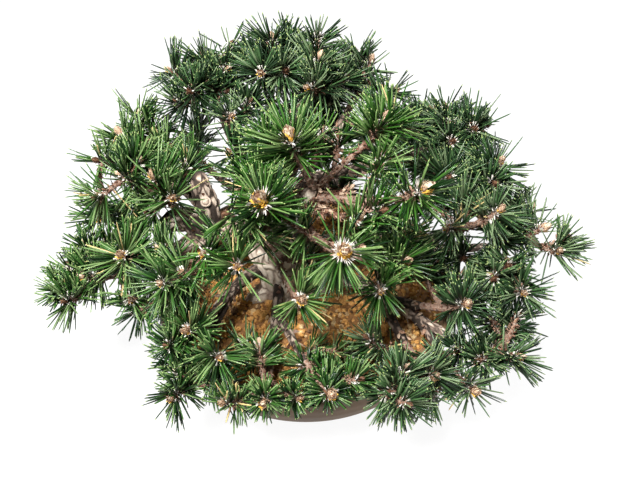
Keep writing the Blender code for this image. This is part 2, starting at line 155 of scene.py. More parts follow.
photo = {
    "place": (0.00534, -0.47767, 0.56510),
    "down": 43,  # degrees below the horizon
    "lens": 45.2,
    "sensor": 36,
    "sky": ((0.05, 0.95), (0.20, 0.07)),  # brightness at two heights: near the horizon, and above
    "lamps": (  # name, place, power, size
        ("key", (-0.38, -0.55, 1.42), 66, 0.42),
        ("rim", (0.75, 0.85, 1.05), 9, 0.60),
    ),
    "aim": (0, 0, 0.10),
}

camera = bpy.data.cameras.new("camera")
camera.lens = photo["lens"]
camera.sensor_width = photo["sensor"]
cameraObject = bpy.data.objects.new("camera", camera)
cameraObject.location = photo["place"]
cameraObject.rotation_euler = (math.radians(90 - photo["down"]), 0, 0)
scene = bpy.context.scene
scene.collection.objects.link(cameraObject)
scene.camera = cameraObject
scene.view_settings.view_transform = "Standard"

for name, place, power, size in photo["lamps"]:
    lamp = bpy.data.lights.new(name, "AREA")
    lamp.energy = power
    lamp.size = size
    lampObject = bpy.data.objects.new(name, lamp)
    lampObject.location = place
    lampObject.rotation_euler = (Vector(photo["aim"]) - Vector(place)).to_track_quat("-Z", "Y").to_euler()
    scene.collection.objects.link(lampObject)

world = bpy.data.worlds.new("studio")
world.use_nodes = True
studio = Wiring(world.node_tree)
height = studio.node("SeparateXYZ", {}, {0: studio.node("TexCoord", {}, {}, "Generated")}, "Z")
shades = [(place, (light,) * 3) for place, light in photo["sky"]]
glow = studio.node("ValToRGB", {"stops": shades}, {"Fac": height})
studio.feed(studio.tree.nodes["Background"].inputs["Color"], glow)
scene.world = world
print("camera and lights set")


# Meshes

Shape = namedtuple("Shape", "points triangles parts")


def turnsOf(sides):
    return [2 * math.pi * k / sides for k in range(sides)]


# A closed skin over rings of equally many points, with a part number for each band and each end
def skin(rings, end=None, parts=None):
    rings = [np.asarray(ring, float) for ring in rings]
    sides = len(rings[0])
    here = np.arange(sides)
    there = (here + 1) % sides
    ends = [rings[0].mean(0), rings[-1].mean(0) if end is None else end]
    points = np.concatenate(rings + [np.array(ends, float)])
    low, high = len(points) - 2, len(points) - 1
    bands = [np.stack([np.full(sides, low), there, here], 1)]
    for i in range(len(rings) - 1):
        a, b = i * sides, (i + 1) * sides
        bands.append(np.concatenate([
            np.stack([a + here, a + there, b + there], 1),
            np.stack([a + here, b + there, b + here], 1),
        ]))
    last = (len(rings) - 1) * sides
    bands.append(np.stack([last + here, last + there, np.full(sides, high)], 1))
    parts = parts or [0] * len(bands)
    marks = [np.full(len(band), part) for band, part in zip(bands, parts)]
    return Shape(points, np.concatenate(bands), np.concatenate(marks))


# Gathers shapes into one piece
class Gather:
    def __init__(self):
        self.points, self.triangles, self.finishes, self.tones, self.count = [], [], [], [], 0

    def add(self, shape, tones=None):
        self.points.append(shape.points)
        self.triangles.append(shape.triangles + self.count)
        self.finishes.append(np.zeros(len(shape.triangles), int))
        self.tones.append(np.ones(len(shape.points)) if tones is None else tones)
        self.count += len(shape.points)

    # Copies of one shape: where each stands, its three scaled axes, a finish for each of its parts,
    # how far its far end bows out, and its tone
    def scatter(self, shape, origins, axes, finishes, bows=None, tones=None):
        if not len(origins):
            return
        placed = np.einsum("kj,njc->nkc", shape.points, np.array(axes)) + np.array(origins)[:, None]
        if bows is not None:
            placed += (shape.points[:, 2] ** 2)[None, :, None] * np.array(bows)[:, None]
        starts = self.count + len(shape.points) * np.arange(len(origins))
        self.points.append(placed.reshape(-1, 3))
        self.triangles.append((shape.triangles[None] + starts[:, None, None]).reshape(-1, 3))
        self.finishes.append(np.array(finishes)[:, shape.parts].ravel())
        self.tones.append(np.repeat(np.ones(len(origins)) if tones is None else tones, len(shape.points)))
        self.count += len(shape.points) * len(origins)

    def build(self, name, slot, nodes, finishes, smooth=True):
        mesh = bpy.data.meshes.new(name)
        mesh.from_pydata(np.concatenate(self.points), [], np.concatenate(self.triangles))
        mesh.polygons.foreach_set("material_index", np.concatenate(self.finishes).astype(np.int32))
        mesh.polygons.foreach_set("use_smooth", np.full(len(mesh.polygons), smooth))
        tone = mesh.attributes.new("tone", "FLOAT", "POINT")
        tone.data.foreach_set("value", np.concatenate(self.tones).astype(np.float32))
        for finish in finishes:
            mesh.materials.append(finish.material)
        made = bpy.data.objects.new(name, mesh)
        scene.collection.objects.link(made)
        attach(made, "root")
        if nodes:
            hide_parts(*nodes)
        print(name, len(mesh.polygons), "triangles")
        return made


# Floor

floor = {"size": 8.0, "colour": (0.12, 0.12, 0.12), "roughness": 0.8, "glow": 0.93}
half = floor["size"] / 2
corners = [(-half, -half, 0), (half, -half, 0), (half, half, 0), (-half, half, 0)]
floorMesh = bpy.data.meshes.new("floor")
floorMesh.from_pydata(corners, [], [(0, 1, 2, 3)])
paper = Finish("lit paper", floor["colour"], floor["roughness"])
paper.wear({"Emission Color": (1, 1, 1), "Emission Strength": floor["glow"], "Specular IOR Level": 0.0})
floorMesh.materials.append(paper.material)
floorObject = bpy.data.objects.new("floor", floorMesh)
scene.collection.objects.link(floorObject)
floorObject.visible_diffuse = False  # the glow whitens the ground, and doesn't light the plant from below
floorObject.visible_glossy = False
print("floor laid")


# Pot

pot = {
    "radius": 0.130,
    "height": 0.070,
    "footRadius": 0.080,
    "footHeight": 0.005,
    "lipWidth": 0.011,
    "wall": 0.009,
    "floor": 0.010,
    "soilEdge": 0.058,
    "sides": 144,
    "wallSteps": 26,
    "insideSteps": 4,
    "lipSteps": 9,
    "footBevel": 0.0012,
    "wheelMarks": 0.00016,  # depth of the faint rings left by turning
    "wheelPitch": 2100,  # radians of their wave in a metre of height
    "clay": (0.152, 0.090, 0.044),
    "darkClay": (0.106, 0.061, 0.029),
    "lightClay": (0.214, 0.134, 0.070),
    "cloud": 0.030,  # sizes of the clay's clouds, dimples and sand
    "dimple": 0.006,
    "sand": 0.0011,
    "relief": 0.0004,
    "roughness": 0.58,
}


# The wall's outer radius: an arc, upright at the lip and most sloped at the foot
def bowlRadius(height):
    drop = pot["height"] - pot["lipWidth"] / 2 - pot["footHeight"]
    turn = 2 * math.atan2(pot["radius"] - pot["footRadius"], drop)
    arc = drop / math.sin(turn)
    below = min(max(pot["height"] - pot["lipWidth"] / 2 - height, 0), drop)
    return pot["radius"] - arc * (1 - math.sqrt(1 - (below / arc) ** 2))


def wallHeights(low, high, steps):
    return [low + (high - low) * i / steps for i in range(steps + 1)]


def potRings():
    lip, bevel, foot = pot["lipWidth"] / 2, pot["footBevel"], pot["footRadius"]
    rim = pot["height"] - lip
    profile = [(foot - bevel, 0), (foot, bevel)]
    for z in wallHeights(pot["footHeight"], rim, pot["wallSteps"]):
        mark = math.sin(z * pot["wheelPitch"]) * pot["wheelMarks"] * (z < rim)
        profile.append((bowlRadius(z) - pot["wheelMarks"] + mark, z))
    for i in range(1, 2 * pot["lipSteps"]):
        angle = math.pi * i / (2 * pot["lipSteps"])
        profile.append((pot["radius"] - lip + lip * math.cos(angle), rim + lip * math.sin(angle)))
    for z in reversed(wallHeights(pot["floor"], pot["soilEdge"], pot["insideSteps"])):
        profile.append((bowlRadius(z) - pot["wall"], z))
    turns = np.arange(pot["sides"]) * 2 * math.pi / pot["sides"]
    return [np.stack([r * np.cos(turns), r * np.sin(turns), np.full(len(turns), z)], 1) for r, z in profile]


def clayFinish():
    clay = Finish("unglazed clay", pot["clay"], pot["roughness"])
    cloud = clay.speckle(pot["cloud"], 4.0)
    sand = clay.speckle(pot["sand"], 2.0, 0.7)
    mottled = clay.ramp(cloud * 0.75 + sand * 0.25, [
        (0.32, pot["darkClay"]), (0.52, pot["clay"]), (0.72, pot["lightClay"]),
    ])
    return clay.wear({
        "Base Color": mottled,
        "Roughness": 0.48 + cloud * 0.22,
        "Normal": clay.bump(sand * 0.7 + clay.speckle(pot["dimple"]) * 0.3, pot["relief"], 0.35),
    })


bowl = Gather()
bowl.add(skin(potRings()))
bowl.build("bowl", "clay", ["pot"], [clayFinish()])


# Soil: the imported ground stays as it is, under a layer of loose grit

grit = {
    "grains": 3400,
    "radius": 0.116,
    "flatRadius": 0.066,
    "top": 0.0655,
    "size": (0.0011, 0.0027),
    "sizeVaries": (0.8, 1.25),
    "squashed": (0.75, 1.3),
    "sunk": (-0.3, 0.75),  # shares of its size that a grain's middle stands over the ground
    "sway": 0.6,
    "roughness": 0.92,
    "packed": ((0.170, 0.080, 0.026), (0.420, 0.200, 0.065)),
    "finishes": (  # name, dark, light, how many in ten
        ("rust grit", (0.450, 0.210, 0.050), (0.800, 0.440, 0.130), 7),
        ("tan grit", (0.520, 0.320, 0.130), (0.800, 0.580, 0.300), 2),
        ("dark grit", (0.130, 0.065, 0.030), (0.260, 0.150, 0.070), 1),
    ),
}


def gritFinish(name, dark, light):
    made = Finish(name, light, grit["roughness"])
    grain = made.speckle(0.0030, 3.0)
    made.wear({
        "Base Color": made.ramp(grain, [(0.30, dark), (0.70, light)]),
        "Normal": made.bump(made.speckle(0.0006, 2.0), 0.0003, 0.6),
    })
    return made


def groundHeight(radius):
    edge = bowlRadius(pot["soilEdge"]) - pot["wall"]
    slope = (radius - grit["flatRadius"]) / (edge - grit["flatRadius"])
    return grit["top"] - (grit["top"] - pot["soilEdge"]) * min(max(slope, 0), 1)


# A solid of twenty triangles: three corners share one where no two of them are farther apart than a side
def grainShape():
    middle = (1 + math.sqrt(5)) / 2
    corners = [(s, t * middle, 0) for s in (-1, 1) for t in (-1, 1)]
    points = np.array([c[i:] + c[:i] for i in range(3) for c in corners], float) / math.hypot(1, middle)
    longest = 1.05 * 2 / math.hypot(1, middle)
    triangles = []
    for a, b, c in itertools.combinations(range(len(points)), 3):
        sides = [points[a] - points[b], points[b] - points[c], points[c] - points[a]]
        if max(np.linalg.norm(side) for side in sides) < longest:
            out = np.dot(np.cross(points[b] - points[a], points[c] - points[a]), points[a])
            triangles.append((a, b, c) if out > 0 else (a, c, b))
    return Shape(points, np.array(triangles), np.zeros(len(triangles), int))


def strew():
    rule = random.Random("grit")
    dealt = [i for i, finish in enumerate(grit["finishes"]) for _ in range(finish[3])]
    origins, axes, finishes = [], [], []
    for i in range(grit["grains"]):
        radius = grit["radius"] * math.sqrt((i + 0.5) / grit["grains"])
        angle = i * golden + rule.uniform(-1, 1) * grit["sway"]
        size = rule.uniform(*grit["size"]) * rule.uniform(*grit["sizeVaries"])
        height = groundHeight(radius) + size * rule.uniform(*grit["sunk"])
        facing = Vector([rule.gauss(0, 1) for _ in range(3)]).normalized()
        turned = facing.to_track_quat("Z", "X").to_matrix()
        origins.append((radius * math.cos(angle), radius * math.sin(angle), height))
        axes.append([turned.col[k] * size * rule.uniform(*grit["squashed"]) for k in range(3)])
        finishes.append([rule.choice(dealt)])
    return origins, axes, finishes


gritFinishes = [gritFinish(*finish[:3]) for finish in grit["finishes"]]
loose = Gather()
loose.scatter(grainShape(), *strew())
loose.build("grit", "soil", [], gritFinishes, smooth=False)

groundFinish = gritFinish("packed soil", *grit["packed"])
for slot in frame["nodes"]["soil"].material_slots:
    slot.material = groundFinish.material


# How the tree grows: the same rule as the solids

growth = {
    "linePoints": 25,
    "stemSteps": 16,
    "shootPoints": 13,
    "finerPoints": 11,
    "coarsePoints": 3,  # where only a line's room is checked, it has these points, or these pieces:
    "limbPieces": 6,
    "stemPieces": 4,
    "potChecks": 5,
    "stem": 0.046,
    "stemRadius": 0.0030,
    "shootRadius": 0.0020,
    "twigRadius": 0.0018,
    "gap": 0.0003,
    "leavingLift": 0.12,
    "leavingPull": 0.38,
    "arrivingPull": 0.30,
    "upturn": 0.8,
    "upturnVaries": 0.2,
    "firstSide": 0.30,
    "sideStretch": 0.55,
    "sideReach": 0.037,
    "sideSpread": 0.09,
    "sideSway": 4,
    "sideLift": (6, 28),
    "clear": 0.0009,
    "potClear": 0.002,
    "shootSpacing": 0.014,
    "coreRadius": 0.0066,
    "budTip": 0.008,
    "finer": 3,  # tries at a finer twig on each shoot
    "finerReach": (0.020, 0.028),
    "finerFrom": (0.30, 0.62),  # share of the shoot where it leaves
    "finerLift": (0, 45),
    "finerSpacing": 0.0185,
    "finerAbove": 0.125,  # over the bowl they grow only above this height, so that the soil shows
    "finerRoom": 0.008,
    "extraFrom": (0.3, 0.4, 0.5, 0.6, 0.7, 0.8, 0.9),  # shares of a line where a single twig may leave
}

trunk = {
    "line": (
        (-0.018, -0.004, 0.0658),
        (-0.019, -0.003, 0.078),
        (-0.027, 0.000, 0.096),
        (-0.035, 0.002, 0.120),
        (-0.026, -0.004, 0.146),
        (-0.005, -0.014, 0.168),
        (0.006, -0.020, 0.190),
    ),
    "radii": (0.0235, 0.0200, 0.0175, 0.0160, 0.0130, 0.0085, 0.0050),
    "bleached": 0.38,  # how much paler its bark is than the boughs': partly its own paler old bark, partly painted light on the trunk under the crown's shade
    "bends": 6,
    "rootReach": 0.017,
    "rootFade": 0.009,
    "roots": 5,
    "rootTurn": 0.9,
    "rootSharpness": 1.5,
    "rootLopsided": 0.25,
}

# Old wood on the thick left bough: a bleached stub with the healed scar of a cut, and a dead arm
oldWood = {
    "stub": {
        "line": (
            (-0.0790, 0.0010, 0.124),
            (-0.0770, 0.0010, 0.140),
            (-0.0800, 0.0040, 0.155),
            (-0.0845, 0.0100, 0.168),
            (-0.0850, 0.0150, 0.178),
        ),
        "radii": (0.0090, 0.0080, 0.0105, 0.0088, 0.0074),
        "bleached": -0.10,
    },
    "arm": {
        "line": (
            (-0.0800, 0.0040, 0.124),
            (-0.0930, 0.0050, 0.135),
            (-0.1080, 0.0020, 0.138),
            (-0.1220, -0.0060, 0.132),
        ),
        "radii": (0.0100, 0.0110, 0.0095, 0.0055),
        "bleached": 0.0,
    },
}
oldBark = {"bends": 5, "plate": 0.0060, "depth": 0.0012, "sides": 75}
scar = {
    "at": 0.56,  # share of the stub's length
    "way": (0.10, -0.74, 0.66),
    "rings": ((0.0046, -0.004), (0.0042, 0.0006), (0.0034, 0.0012), (0.0028, 0.0009), (0.0025, 0.0001),
              (0.0020, 0.0001), (0.0016, 0.0005)),  # radius and height
    "tones": (0.45, 0.50, 0.55, 0.40, 0.12, 0.12, 0.42),
    "sides": 22,
}

Mass = namedtuple("Mass", "name parent at tip girth leaves sides")
# A shoot's fresh value shifts its needles' greens; where it is negative it is painted shade
Shoot = namedtuple("Shoot", "mass line tip axis leading fresh", defaults=(0,))

# Each limb: what it grows from and how far along that, where its leading shoot ends, its radius at
# the root (None where it stands straight on the trunk), the heading it leaves by (None: straight to
# its end), and the headings of its side shoots
masses = [Mass(*row) for row in (
    ("top", "trunk", 1.00, (-0.010, -0.027, 0.240), None, None, (70, 150)),
    ("crown_left", "trunk", 0.80, (-0.029, -0.074, 0.222), None, None, (120, 150, -150)),
    ("crown_front", "trunk", 0.74, (0.026, -0.091, 0.192), None, None, (95, -35)),
    ("crown_right", "trunk", 0.90, (0.082, -0.052, 0.214), None, None, (-30, 60, -28)),
    ("crown_back_right", "trunk", 0.94, (0.059, 0.019, 0.224), None, None, (80, -10, 40)),
    ("left_front", "trunk", 0.66, (-0.061, -0.066, 0.178), 0.0055, None, (-178, -125, -75)),
    ("centre", "trunk", 0.42, (-0.003, -0.088, 0.140), None, None, (-33, -115)),
    ("front_right", "trunk", 0.55, (0.073, -0.058, 0.150), 0.0055, None, (-38, -87, 60)),
    ("left_outer", "trunk", 0.44, (-0.172, -0.046, 0.122), 0.0110, 165, (125, -65, 132, -130)),
    ("left_mid", "left_outer", 0.88, (-0.139, -0.052, 0.150), None, None, ()),
    ("left", "left_outer", 0.50, (-0.116, -0.005, 0.188), 0.0050, None, (80, -64, 167)),
    ("left_back", "left_outer", 0.38, (-0.157, 0.069, 0.175), 0.0060, 100, (88, -138, 88)),
    ("left_side", "left_outer", 0.24, (-0.090, -0.073, 0.152), 0.0050, None, (170, -129)),
    ("front_left", "trunk", 0.19, (-0.087, -0.100, 0.120), 0.0065, 205, (165, -133, -60)),
    ("front_left_low", "front_left", 0.62, (-0.098, -0.131, 0.082), 0.0040, None, (170, -20)),
    ("front", "trunk", 0.13, (-0.030, -0.142, 0.090), 0.0055, None, (-48, 60, -150, 100)),
    ("front_mid", "front", 0.48, (0.018, -0.139, 0.096), 0.0040, None, (-14,)),
    ("right_low", "trunk", 0.16, (0.161, -0.102, 0.092), 0.0085, 0, (38, -80, 58)),
    ("right_front", "right_low", 0.52, (0.095, -0.120, 0.092), 0.0055, -75, (165, 125)),
    ("right_front_low", "right_low", 0.74, (0.126, -0.124, 0.080), 0.0040, None, (-125, 60)),
    ("right_mid", "right_low", 0.60, (0.121, -0.076, 0.122), 0.0045, None, (52, 112, 165)),
    ("right_outer", "trunk", 0.34, (0.193, -0.002, 0.132), 0.0090, 0, (-95, 50, 95, -60)),
    ("right", "right_outer", 0.62, (0.152, -0.009, 0.158), 0.0045, None, (135, -150)),
    ("right_back", "right_outer", 0.46, (0.158, 0.038, 0.168), 0.0050, 60, (155, 100, 30)),
    ("back_right", "trunk", 0.50, (0.056, 0.133, 0.208), 0.0070, 60, (-15, 95, 30)),
    ("back_right_outer", "back_right", 0.40, (0.144, 0.086, 0.178), 0.0050, 20, (118, 95, -20)),
    ("back_left", "trunk", 0.62, (-0.030, 0.133, 0.228), 0.0070, 100, (127, 66, -102)),
    ("back", "back_left", 0.45, (0.011, 0.112, 0.222), 0.0045, None, (22, -60)),
    ("back_left_outer", "back_left", 0.30, (-0.091, 0.143, 0.205), 0.0055, 140, (-140, 172, -115, 58)),
    ("rear", "trunk", 0.36, (0.005, 0.150, 0.140), 0.0070, 80, (20, 160, 80)),
    ("rear_right", "rear", 0.42, (0.098, 0.130, 0.128), 0.0050, 30, (90, 0, -50)),
    ("rear_left", "rear", 0.34, (-0.112, 0.118, 0.132), 0.0055, 150, (200, 100, 250)),
)]


# The masses whose needles are joined to one piece
regions = {
    "crown": ("top", "crown_left", "crown_front", "crown_right", "crown_back_right", "left_front",
              "centre", "front_right"),
    "left": ("left_outer", "left_mid", "left", "left_back", "left_side", "front_left",
             "front_left_low", "front", "front_mid"),
    "right": ("right_low", "right_front", "right_front_low", "right_mid", "right_outer", "right",
              "right_back"),
    "back": ("back_right", "back_right_outer", "back_left", "back"),
    "rear": ("back_left_outer", "rear", "rear_right", "rear_left"),
}

# Places on the wood and the soil that stay in view from the front, and how wide the view to each is
openings = (
    ((-0.082, 0.006, 0.165), 0.013),  # the old stub
    ((-0.100, 0.006, 0.132), 0.012),  # the thick left bough
    ((0.003, -0.010, 0.180), 0.010),  # the forks under the crown
    ((0.022, -0.006, 0.175), 0.012),
    ((0.037, 0.011, 0.175), 0.009),
    ((0.013, -0.016, 0.160), 0.008),
    ((0.0348, 0.0031, 0.2016), 0.007),  # the stem of the crown's right part
    ((0.0430, 0.0085, 0.2065), 0.005),
    ((-0.033, -0.013, 0.105), 0.014),  # the trunk
    ((-0.027, 0.000, 0.096), 0.011),
    ((-0.019, -0.003, 0.078), 0.012),
    ((-0.054, -0.010, 0.070), 0.012),  # the soil left of the trunk
    ((-0.033, -0.017, 0.066), 0.009),
    ((-0.055, -0.047, 0.066), 0.009),
    ((-0.037, -0.045, 0.066), 0.006),
    ((-0.064, -0.069, 0.066), 0.006),
    ((0.033, -0.040, 0.066), 0.009),  # the soil in front
    ((-0.005, -0.059, 0.066), 0.005),
    ((0.036, -0.103, 0.066), 0.004),
    ((0.088, -0.033, 0.085), 0.010),  # the forks of the right boughs
    ((0.102, -0.048, 0.075), 0.014),
    ((0.086, -0.068, 0.070), 0.007),
    ((0.071, -0.054, 0.066), 0.009),
    ((0.145, 0.015, 0.120), 0.008),
    ((0.080, 0.198, 0.170), 0.014),  # the sky round the plant
    ((0.185, 0.145, 0.150), 0.011),
    ((0.193, 0.093, 0.140), 0.009),
    ((-0.138, -0.087, 0.070), 0.011),
    ((-0.076, -0.136, 0.065), 0.009),
    ((0.158, -0.113, 0.065), 0.010),
    ((-0.092, 0.241, 0.170), 0.010),
    ((-0.183, 0.087, 0.100), 0.011),
    ((0.140, 0.183, 0.150), 0.012),
    ((0.103, 0.186, 0.150), 0.004),
    ((-0.188, 0.145, 0.150), 0.011),
    ((0.128, -0.116, 0.040), 0.008),
    ((0.194, 0.144, 0.130), 0.012),
    ((-0.093, 0.192, 0.100), 0.006),
    ((-0.088, 0.164, 0.100), 0.006),
    ((-0.089, 0.138, 0.100), 0.006),
    ((-0.177, -0.057, 0.080), 0.011),
    ((-0.157, -0.068, 0.080), 0.006),
    ((0.155, 0.034, 0.080), 0.006),
    ((0.054, 0.255, 0.170), 0.007),
    ((0.126, 0.176, 0.150), 0.006),
    ((-0.166, -0.014, 0.080), 0.007),
    ((0.092, -0.136, 0.040), 0.009),
    ((0.211, 0.010, 0.080), 0.010),
    ((0.221, 0.066, 0.100), 0.011),
    ((-0.202, 0.089, 0.120), 0.008),
    ((-0.199, 0.097, 0.150), 0.008),
    ((-0.182, 0.127, 0.150), 0.006),
    ((0.113, -0.116, 0.040), 0.008),
    ((0.168, -0.106, 0.060), 0.008),
    ((0.050, 0.245, 0.170), 0.008),
    ((0.162, 0.176, 0.150), 0.008),
    ((0.142, -0.113, 0.040), 0.009),
    ((0.020, 0.229, 0.200), 0.006),
    ((-0.162, -0.051, 0.080), 0.006),
    ((-0.061, -0.115, 0.030), 0.006),
    ((0.114, 0.181, 0.150), 0.006),
    ((0.137, 0.167, 0.150), 0.006),
    ((-0.090, -0.123, 0.050), 0.007),
    ((-0.116, -0.124, 0.050), 0.007),
    ((0.218, 0.043, 0.080), 0.007),
    ((-0.132, 0.146, 0.200), 0.007),
    ((-0.169, 0.051, 0.130), 0.009),
    ((0.155, -0.100, 0.050), 0.007),
    ((0.038, 0.284, 0.000), 0.006),  # the gap in the crown
    ((0.034, 0.255, 0.000), 0.006),
    ((0.020, 0.162, 0.150), 0.0045),
    ((0.021, 0.140, 0.150), 0.0045),
    ((0.021, 0.117, 0.150), 0.0045),
    ((0.023, 0.095, 0.150), 0.0045),
    ((0.026, 0.128, 0.150), 0.005),
    ((0.024, 0.103, 0.150), 0.005),
)
# And places on the trunk, the soil and the right boughs that the key lamp reaches
lit = (
    ((-0.030, -0.012, 0.100), 0.013),
    ((-0.022, -0.014, 0.082), 0.007),
    ((-0.028, -0.014, 0.085), 0.009),
    ((-0.026, -0.018, 0.074), 0.008),
    ((0.113, 0.008, 0.110), 0.010),
    ((0.069, -0.040, 0.066), 0.008),
    ((-0.115, 0.014, 0.160), 0.009),
    ((0.169, -0.074, 0.090), 0.010),
    ((-0.063, -0.034, 0.066), 0.008),
    ((-0.036, -0.049, 0.190), 0.009),
    ((0.060, -0.013, 0.066), 0.010),
    ((0.158, -0.089, 0.090), 0.011),
    ((0.122, 0.017, 0.100), 0.011),
    ((0.146, -0.087, 0.100), 0.010),
    ((0.067, -0.020, 0.066), 0.008),
    ((-0.060, -0.026, 0.066), 0.011),
    ((0.056, -0.034, 0.066), 0.009),
    ((0.118, 0.005, 0.125), 0.012),
)
lampPlace = photo["lamps"][0][1]
seenFrom = np.array([place for place, radius in openings + lit])
seenWay = np.array([photo["place"]] * len(openings) + [lampPlace] * len(lit)) - seenFrom
seenWay /= np.linalg.norm(seenWay, axis=1)[:, None]
seenRadius = np.array([radius for place, radius in openings + lit])

# Single twigs in wider gaps: the mass that each belongs to, its end, and how much fresher its needles are. A
# negative freshness is painted shade: those twigs' needles are darkened where the crown and the bowl's right
# front lie in shadow
extraTwigs = (
    ("back_left_outer", (-0.063, 0.076, 0.190)),
    ("back_left_outer", (-0.063, 0.048, 0.173)),
    ("back_left", (-0.020, 0.075, 0.165)),
    ("back_right", (0.060, 0.075, 0.165)),
    ("back", (0.010, 0.134, 0.232)),
    ("rear", (0.0365, 0.066, 0.122)),
    # Painted shade: these three twigs carry dark needles for the shadowed gap in the crown
    ("rear", (0.021, 0.168, 0.138), -0.6),
    ("rear", (0.022, 0.153, 0.124), -0.6),
    ("rear", (0.019, 0.112, 0.130), -0.6),
    ("left_back", (-0.095, 0.065, 0.150)),
    ("left_back", (-0.170, 0.003, 0.138)),
    ("left_back", (-0.146, 0.020, 0.118)),
    ("left", (-0.160, -0.018, 0.180)),
    ("left", (-0.122, -0.014, 0.160)),
    ("right_front", (0.0625, -0.134, 0.090)),
    ("right_outer", (0.168, -0.046, 0.116)),
    ("front_mid", (0.007, -0.086, 0.082)),
    ("front_mid", (0.013, -0.108, 0.081)),
    ("front_mid", (0.037, -0.088, 0.080)),
    ("front", (-0.052, -0.084, 0.082)),
    ("right_outer", (0.127, -0.026, 0.122)),
    ("right_outer", (0.145, -0.036, 0.112)),
    ("right_low", (0.118, -0.091, 0.086)),
    ("front_mid", (-0.004, -0.105, 0.084)),
    ("front_left", (-0.137, -0.064, 0.105)),
    ("right_front", (0.056, -0.134, 0.086)),
    # Painted shade: these two twigs carry dark needles for shaded tufts low at the right front
    ("right_low", (0.091, -0.099, 0.082), -0.4),
    ("right_front", (0.058, -0.088, 0.082), -0.4),
    ("back_right_outer", (0.157, 0.090, 0.170)),
)

# The ends of bare dead twigs on the trunk's upper part
deadTwigs = (
    (0.0355, -0.0136, 0.185),
    (0.0262, -0.0218, 0.180),
    (0.0157, -0.0270, 0.170),
    (0.0004, -0.0270, 0.175),
    (0.0300, -0.0290, 0.170),
    (0.0100, -0.0330, 0.176),
)


# Whether each place stands before an opening, or nearer than some room to the view of it
def hides(places, room=0.0):
    offset = np.asarray(places)[:, None] - seenFrom[None]
    ahead = (offset * seenWay[None]).sum(2)
    aside = np.linalg.norm(offset - ahead[..., None] * seenWay[None], axis=2)
    return ((ahead > 0) & (aside < seenRadius + room)).any(1)


def heading(degrees):
    angle = math.radians(degrees)
    return Vector((math.cos(angle), math.sin(angle), 0))


def lengthOf(line):
    return sum((b - a).length for a, b in zip(line, line[1:]))


def along(line, distance):
    for a, b in zip(line, line[1:]):
        step = (b - a).length
        if distance <= step or b is line[-1]:
            return a.lerp(b, min(distance / step, 1.0))
        distance -= step


def stretch(line, start, end, steps):
    return [along(line, start + (end - start) * i / steps) for i in range(steps + 1)]


def smoothLine(points, bends):
    points = [Vector(p) for p in points]
    ends = [points[0] * 2 - points[1]] + points + [points[-1] * 2 - points[-2]]
    line = [points[0]]
    for before, a, b, after in zip(ends, ends[1:], ends[2:], ends[3:]):
        line += interpolate_bezier(a, a + (b - before) / 6, b - (after - a) / 6, b, bends + 1)[1:]
    return line


# How near the stretch from a to b comes to the stretch from c to d
def distanceBetween(a, b, c, d):
    u, v, w = b - a, d - c, a - c
    uu, uv, vv, uw, vw = u.dot(u), u.dot(v), v.dot(v), u.dot(w), v.dot(w)
    spread = uu * vv - uv * uv
    almostNone = 1e-16
    s = max(0.0, min(1.0, (uv * vw - vv * uw) / spread)) if spread > almostNone else 0.0
    t = max(0.0, min(1.0, (uv * s + vw) / vv))
    s = max(0.0, min(1.0, (uv * t - uw) / uu))
    return (a + u * s - c - v * t).length


# A trunk or bough: its whole line, of which it fills the stretch from its root to its end
class Limb:
    def __init__(self, line, radiusAt, end):
        self.line, self.radiusAt, self.end = line, radiusAt, end
        self.length = lengthOf(line)

    def radius(self, distance):
        return self.radiusAt(distance / self.length)

    def pieces(self):
        count = growth["limbPieces"]
        points = stretch(self.line, 0, self.end, count)
        for i, (a, b) in enumerate(zip(points, points[1:])):
            yield a, b, self.radius(self.end * i / count)


# A limb along given points, with a radius given for each
def straightLimb(given, bends):
    line, radii = smoothLine(given["line"], bends), given["radii"]
    shares = [i / (len(radii) - 1) for i in range(len(radii))]
    return Limb(line, lambda share: float(np.interp(share, shares, radii)), lengthOf(line))


def growLimb(mass, limbs):
    parent = limbs[mass.parent]
    root, tip = along(parent.line, mass.at * parent.end), Vector(mass.tip)
    reach = (tip - root).length
    flat = (tip - root).normalized()
    out = flat
    if mass.leaves is not None:
        out = (heading(mass.leaves) + up * growth["leavingLift"]).normalized()
    ends = (flat + up * growth["upturn"]).normalized()
    first = root + out * reach * growth["leavingPull"]
    last = tip - ends * reach * growth["arrivingPull"]
    line = interpolate_bezier(root, first, last, tip, growth["linePoints"])
    thick = mass.girth or growth["stemRadius"]
    end = lengthOf(line) - growth["stem"] if mass.girth else 0.0
    return Limb(line, lambda share: thick + (growth["shootRadius"] - thick) * share, end)


def stemStart(mass, limb):
    return limb.end + growth["gap"] if mass.girth or mass.at == 1 else 0.0


def offPot(start, end):
    for i in range(growth["potChecks"] + 1):
        place = start.lerp(end, i / growth["potChecks"])
        low = place.z < pot["height"] + growth["potClear"]
        if low and place.xy.length < pot["radius"] + growth["potClear"]:
            return False
    return True


def clearOf(line, bud, blocked):
    ways = [(a, b, growth["twigRadius"]) for a, b in zip(line, line[1:])]
    ways.append((line[-2], bud, growth["coreRadius"]))
    return all(offPot(a, b) for a, b, radius in ways) and all(
        distanceBetween(a, b, c, d) > radius + other + growth["clear"]
        for a, b, radius in ways
        for c, d, other in blocked
    )


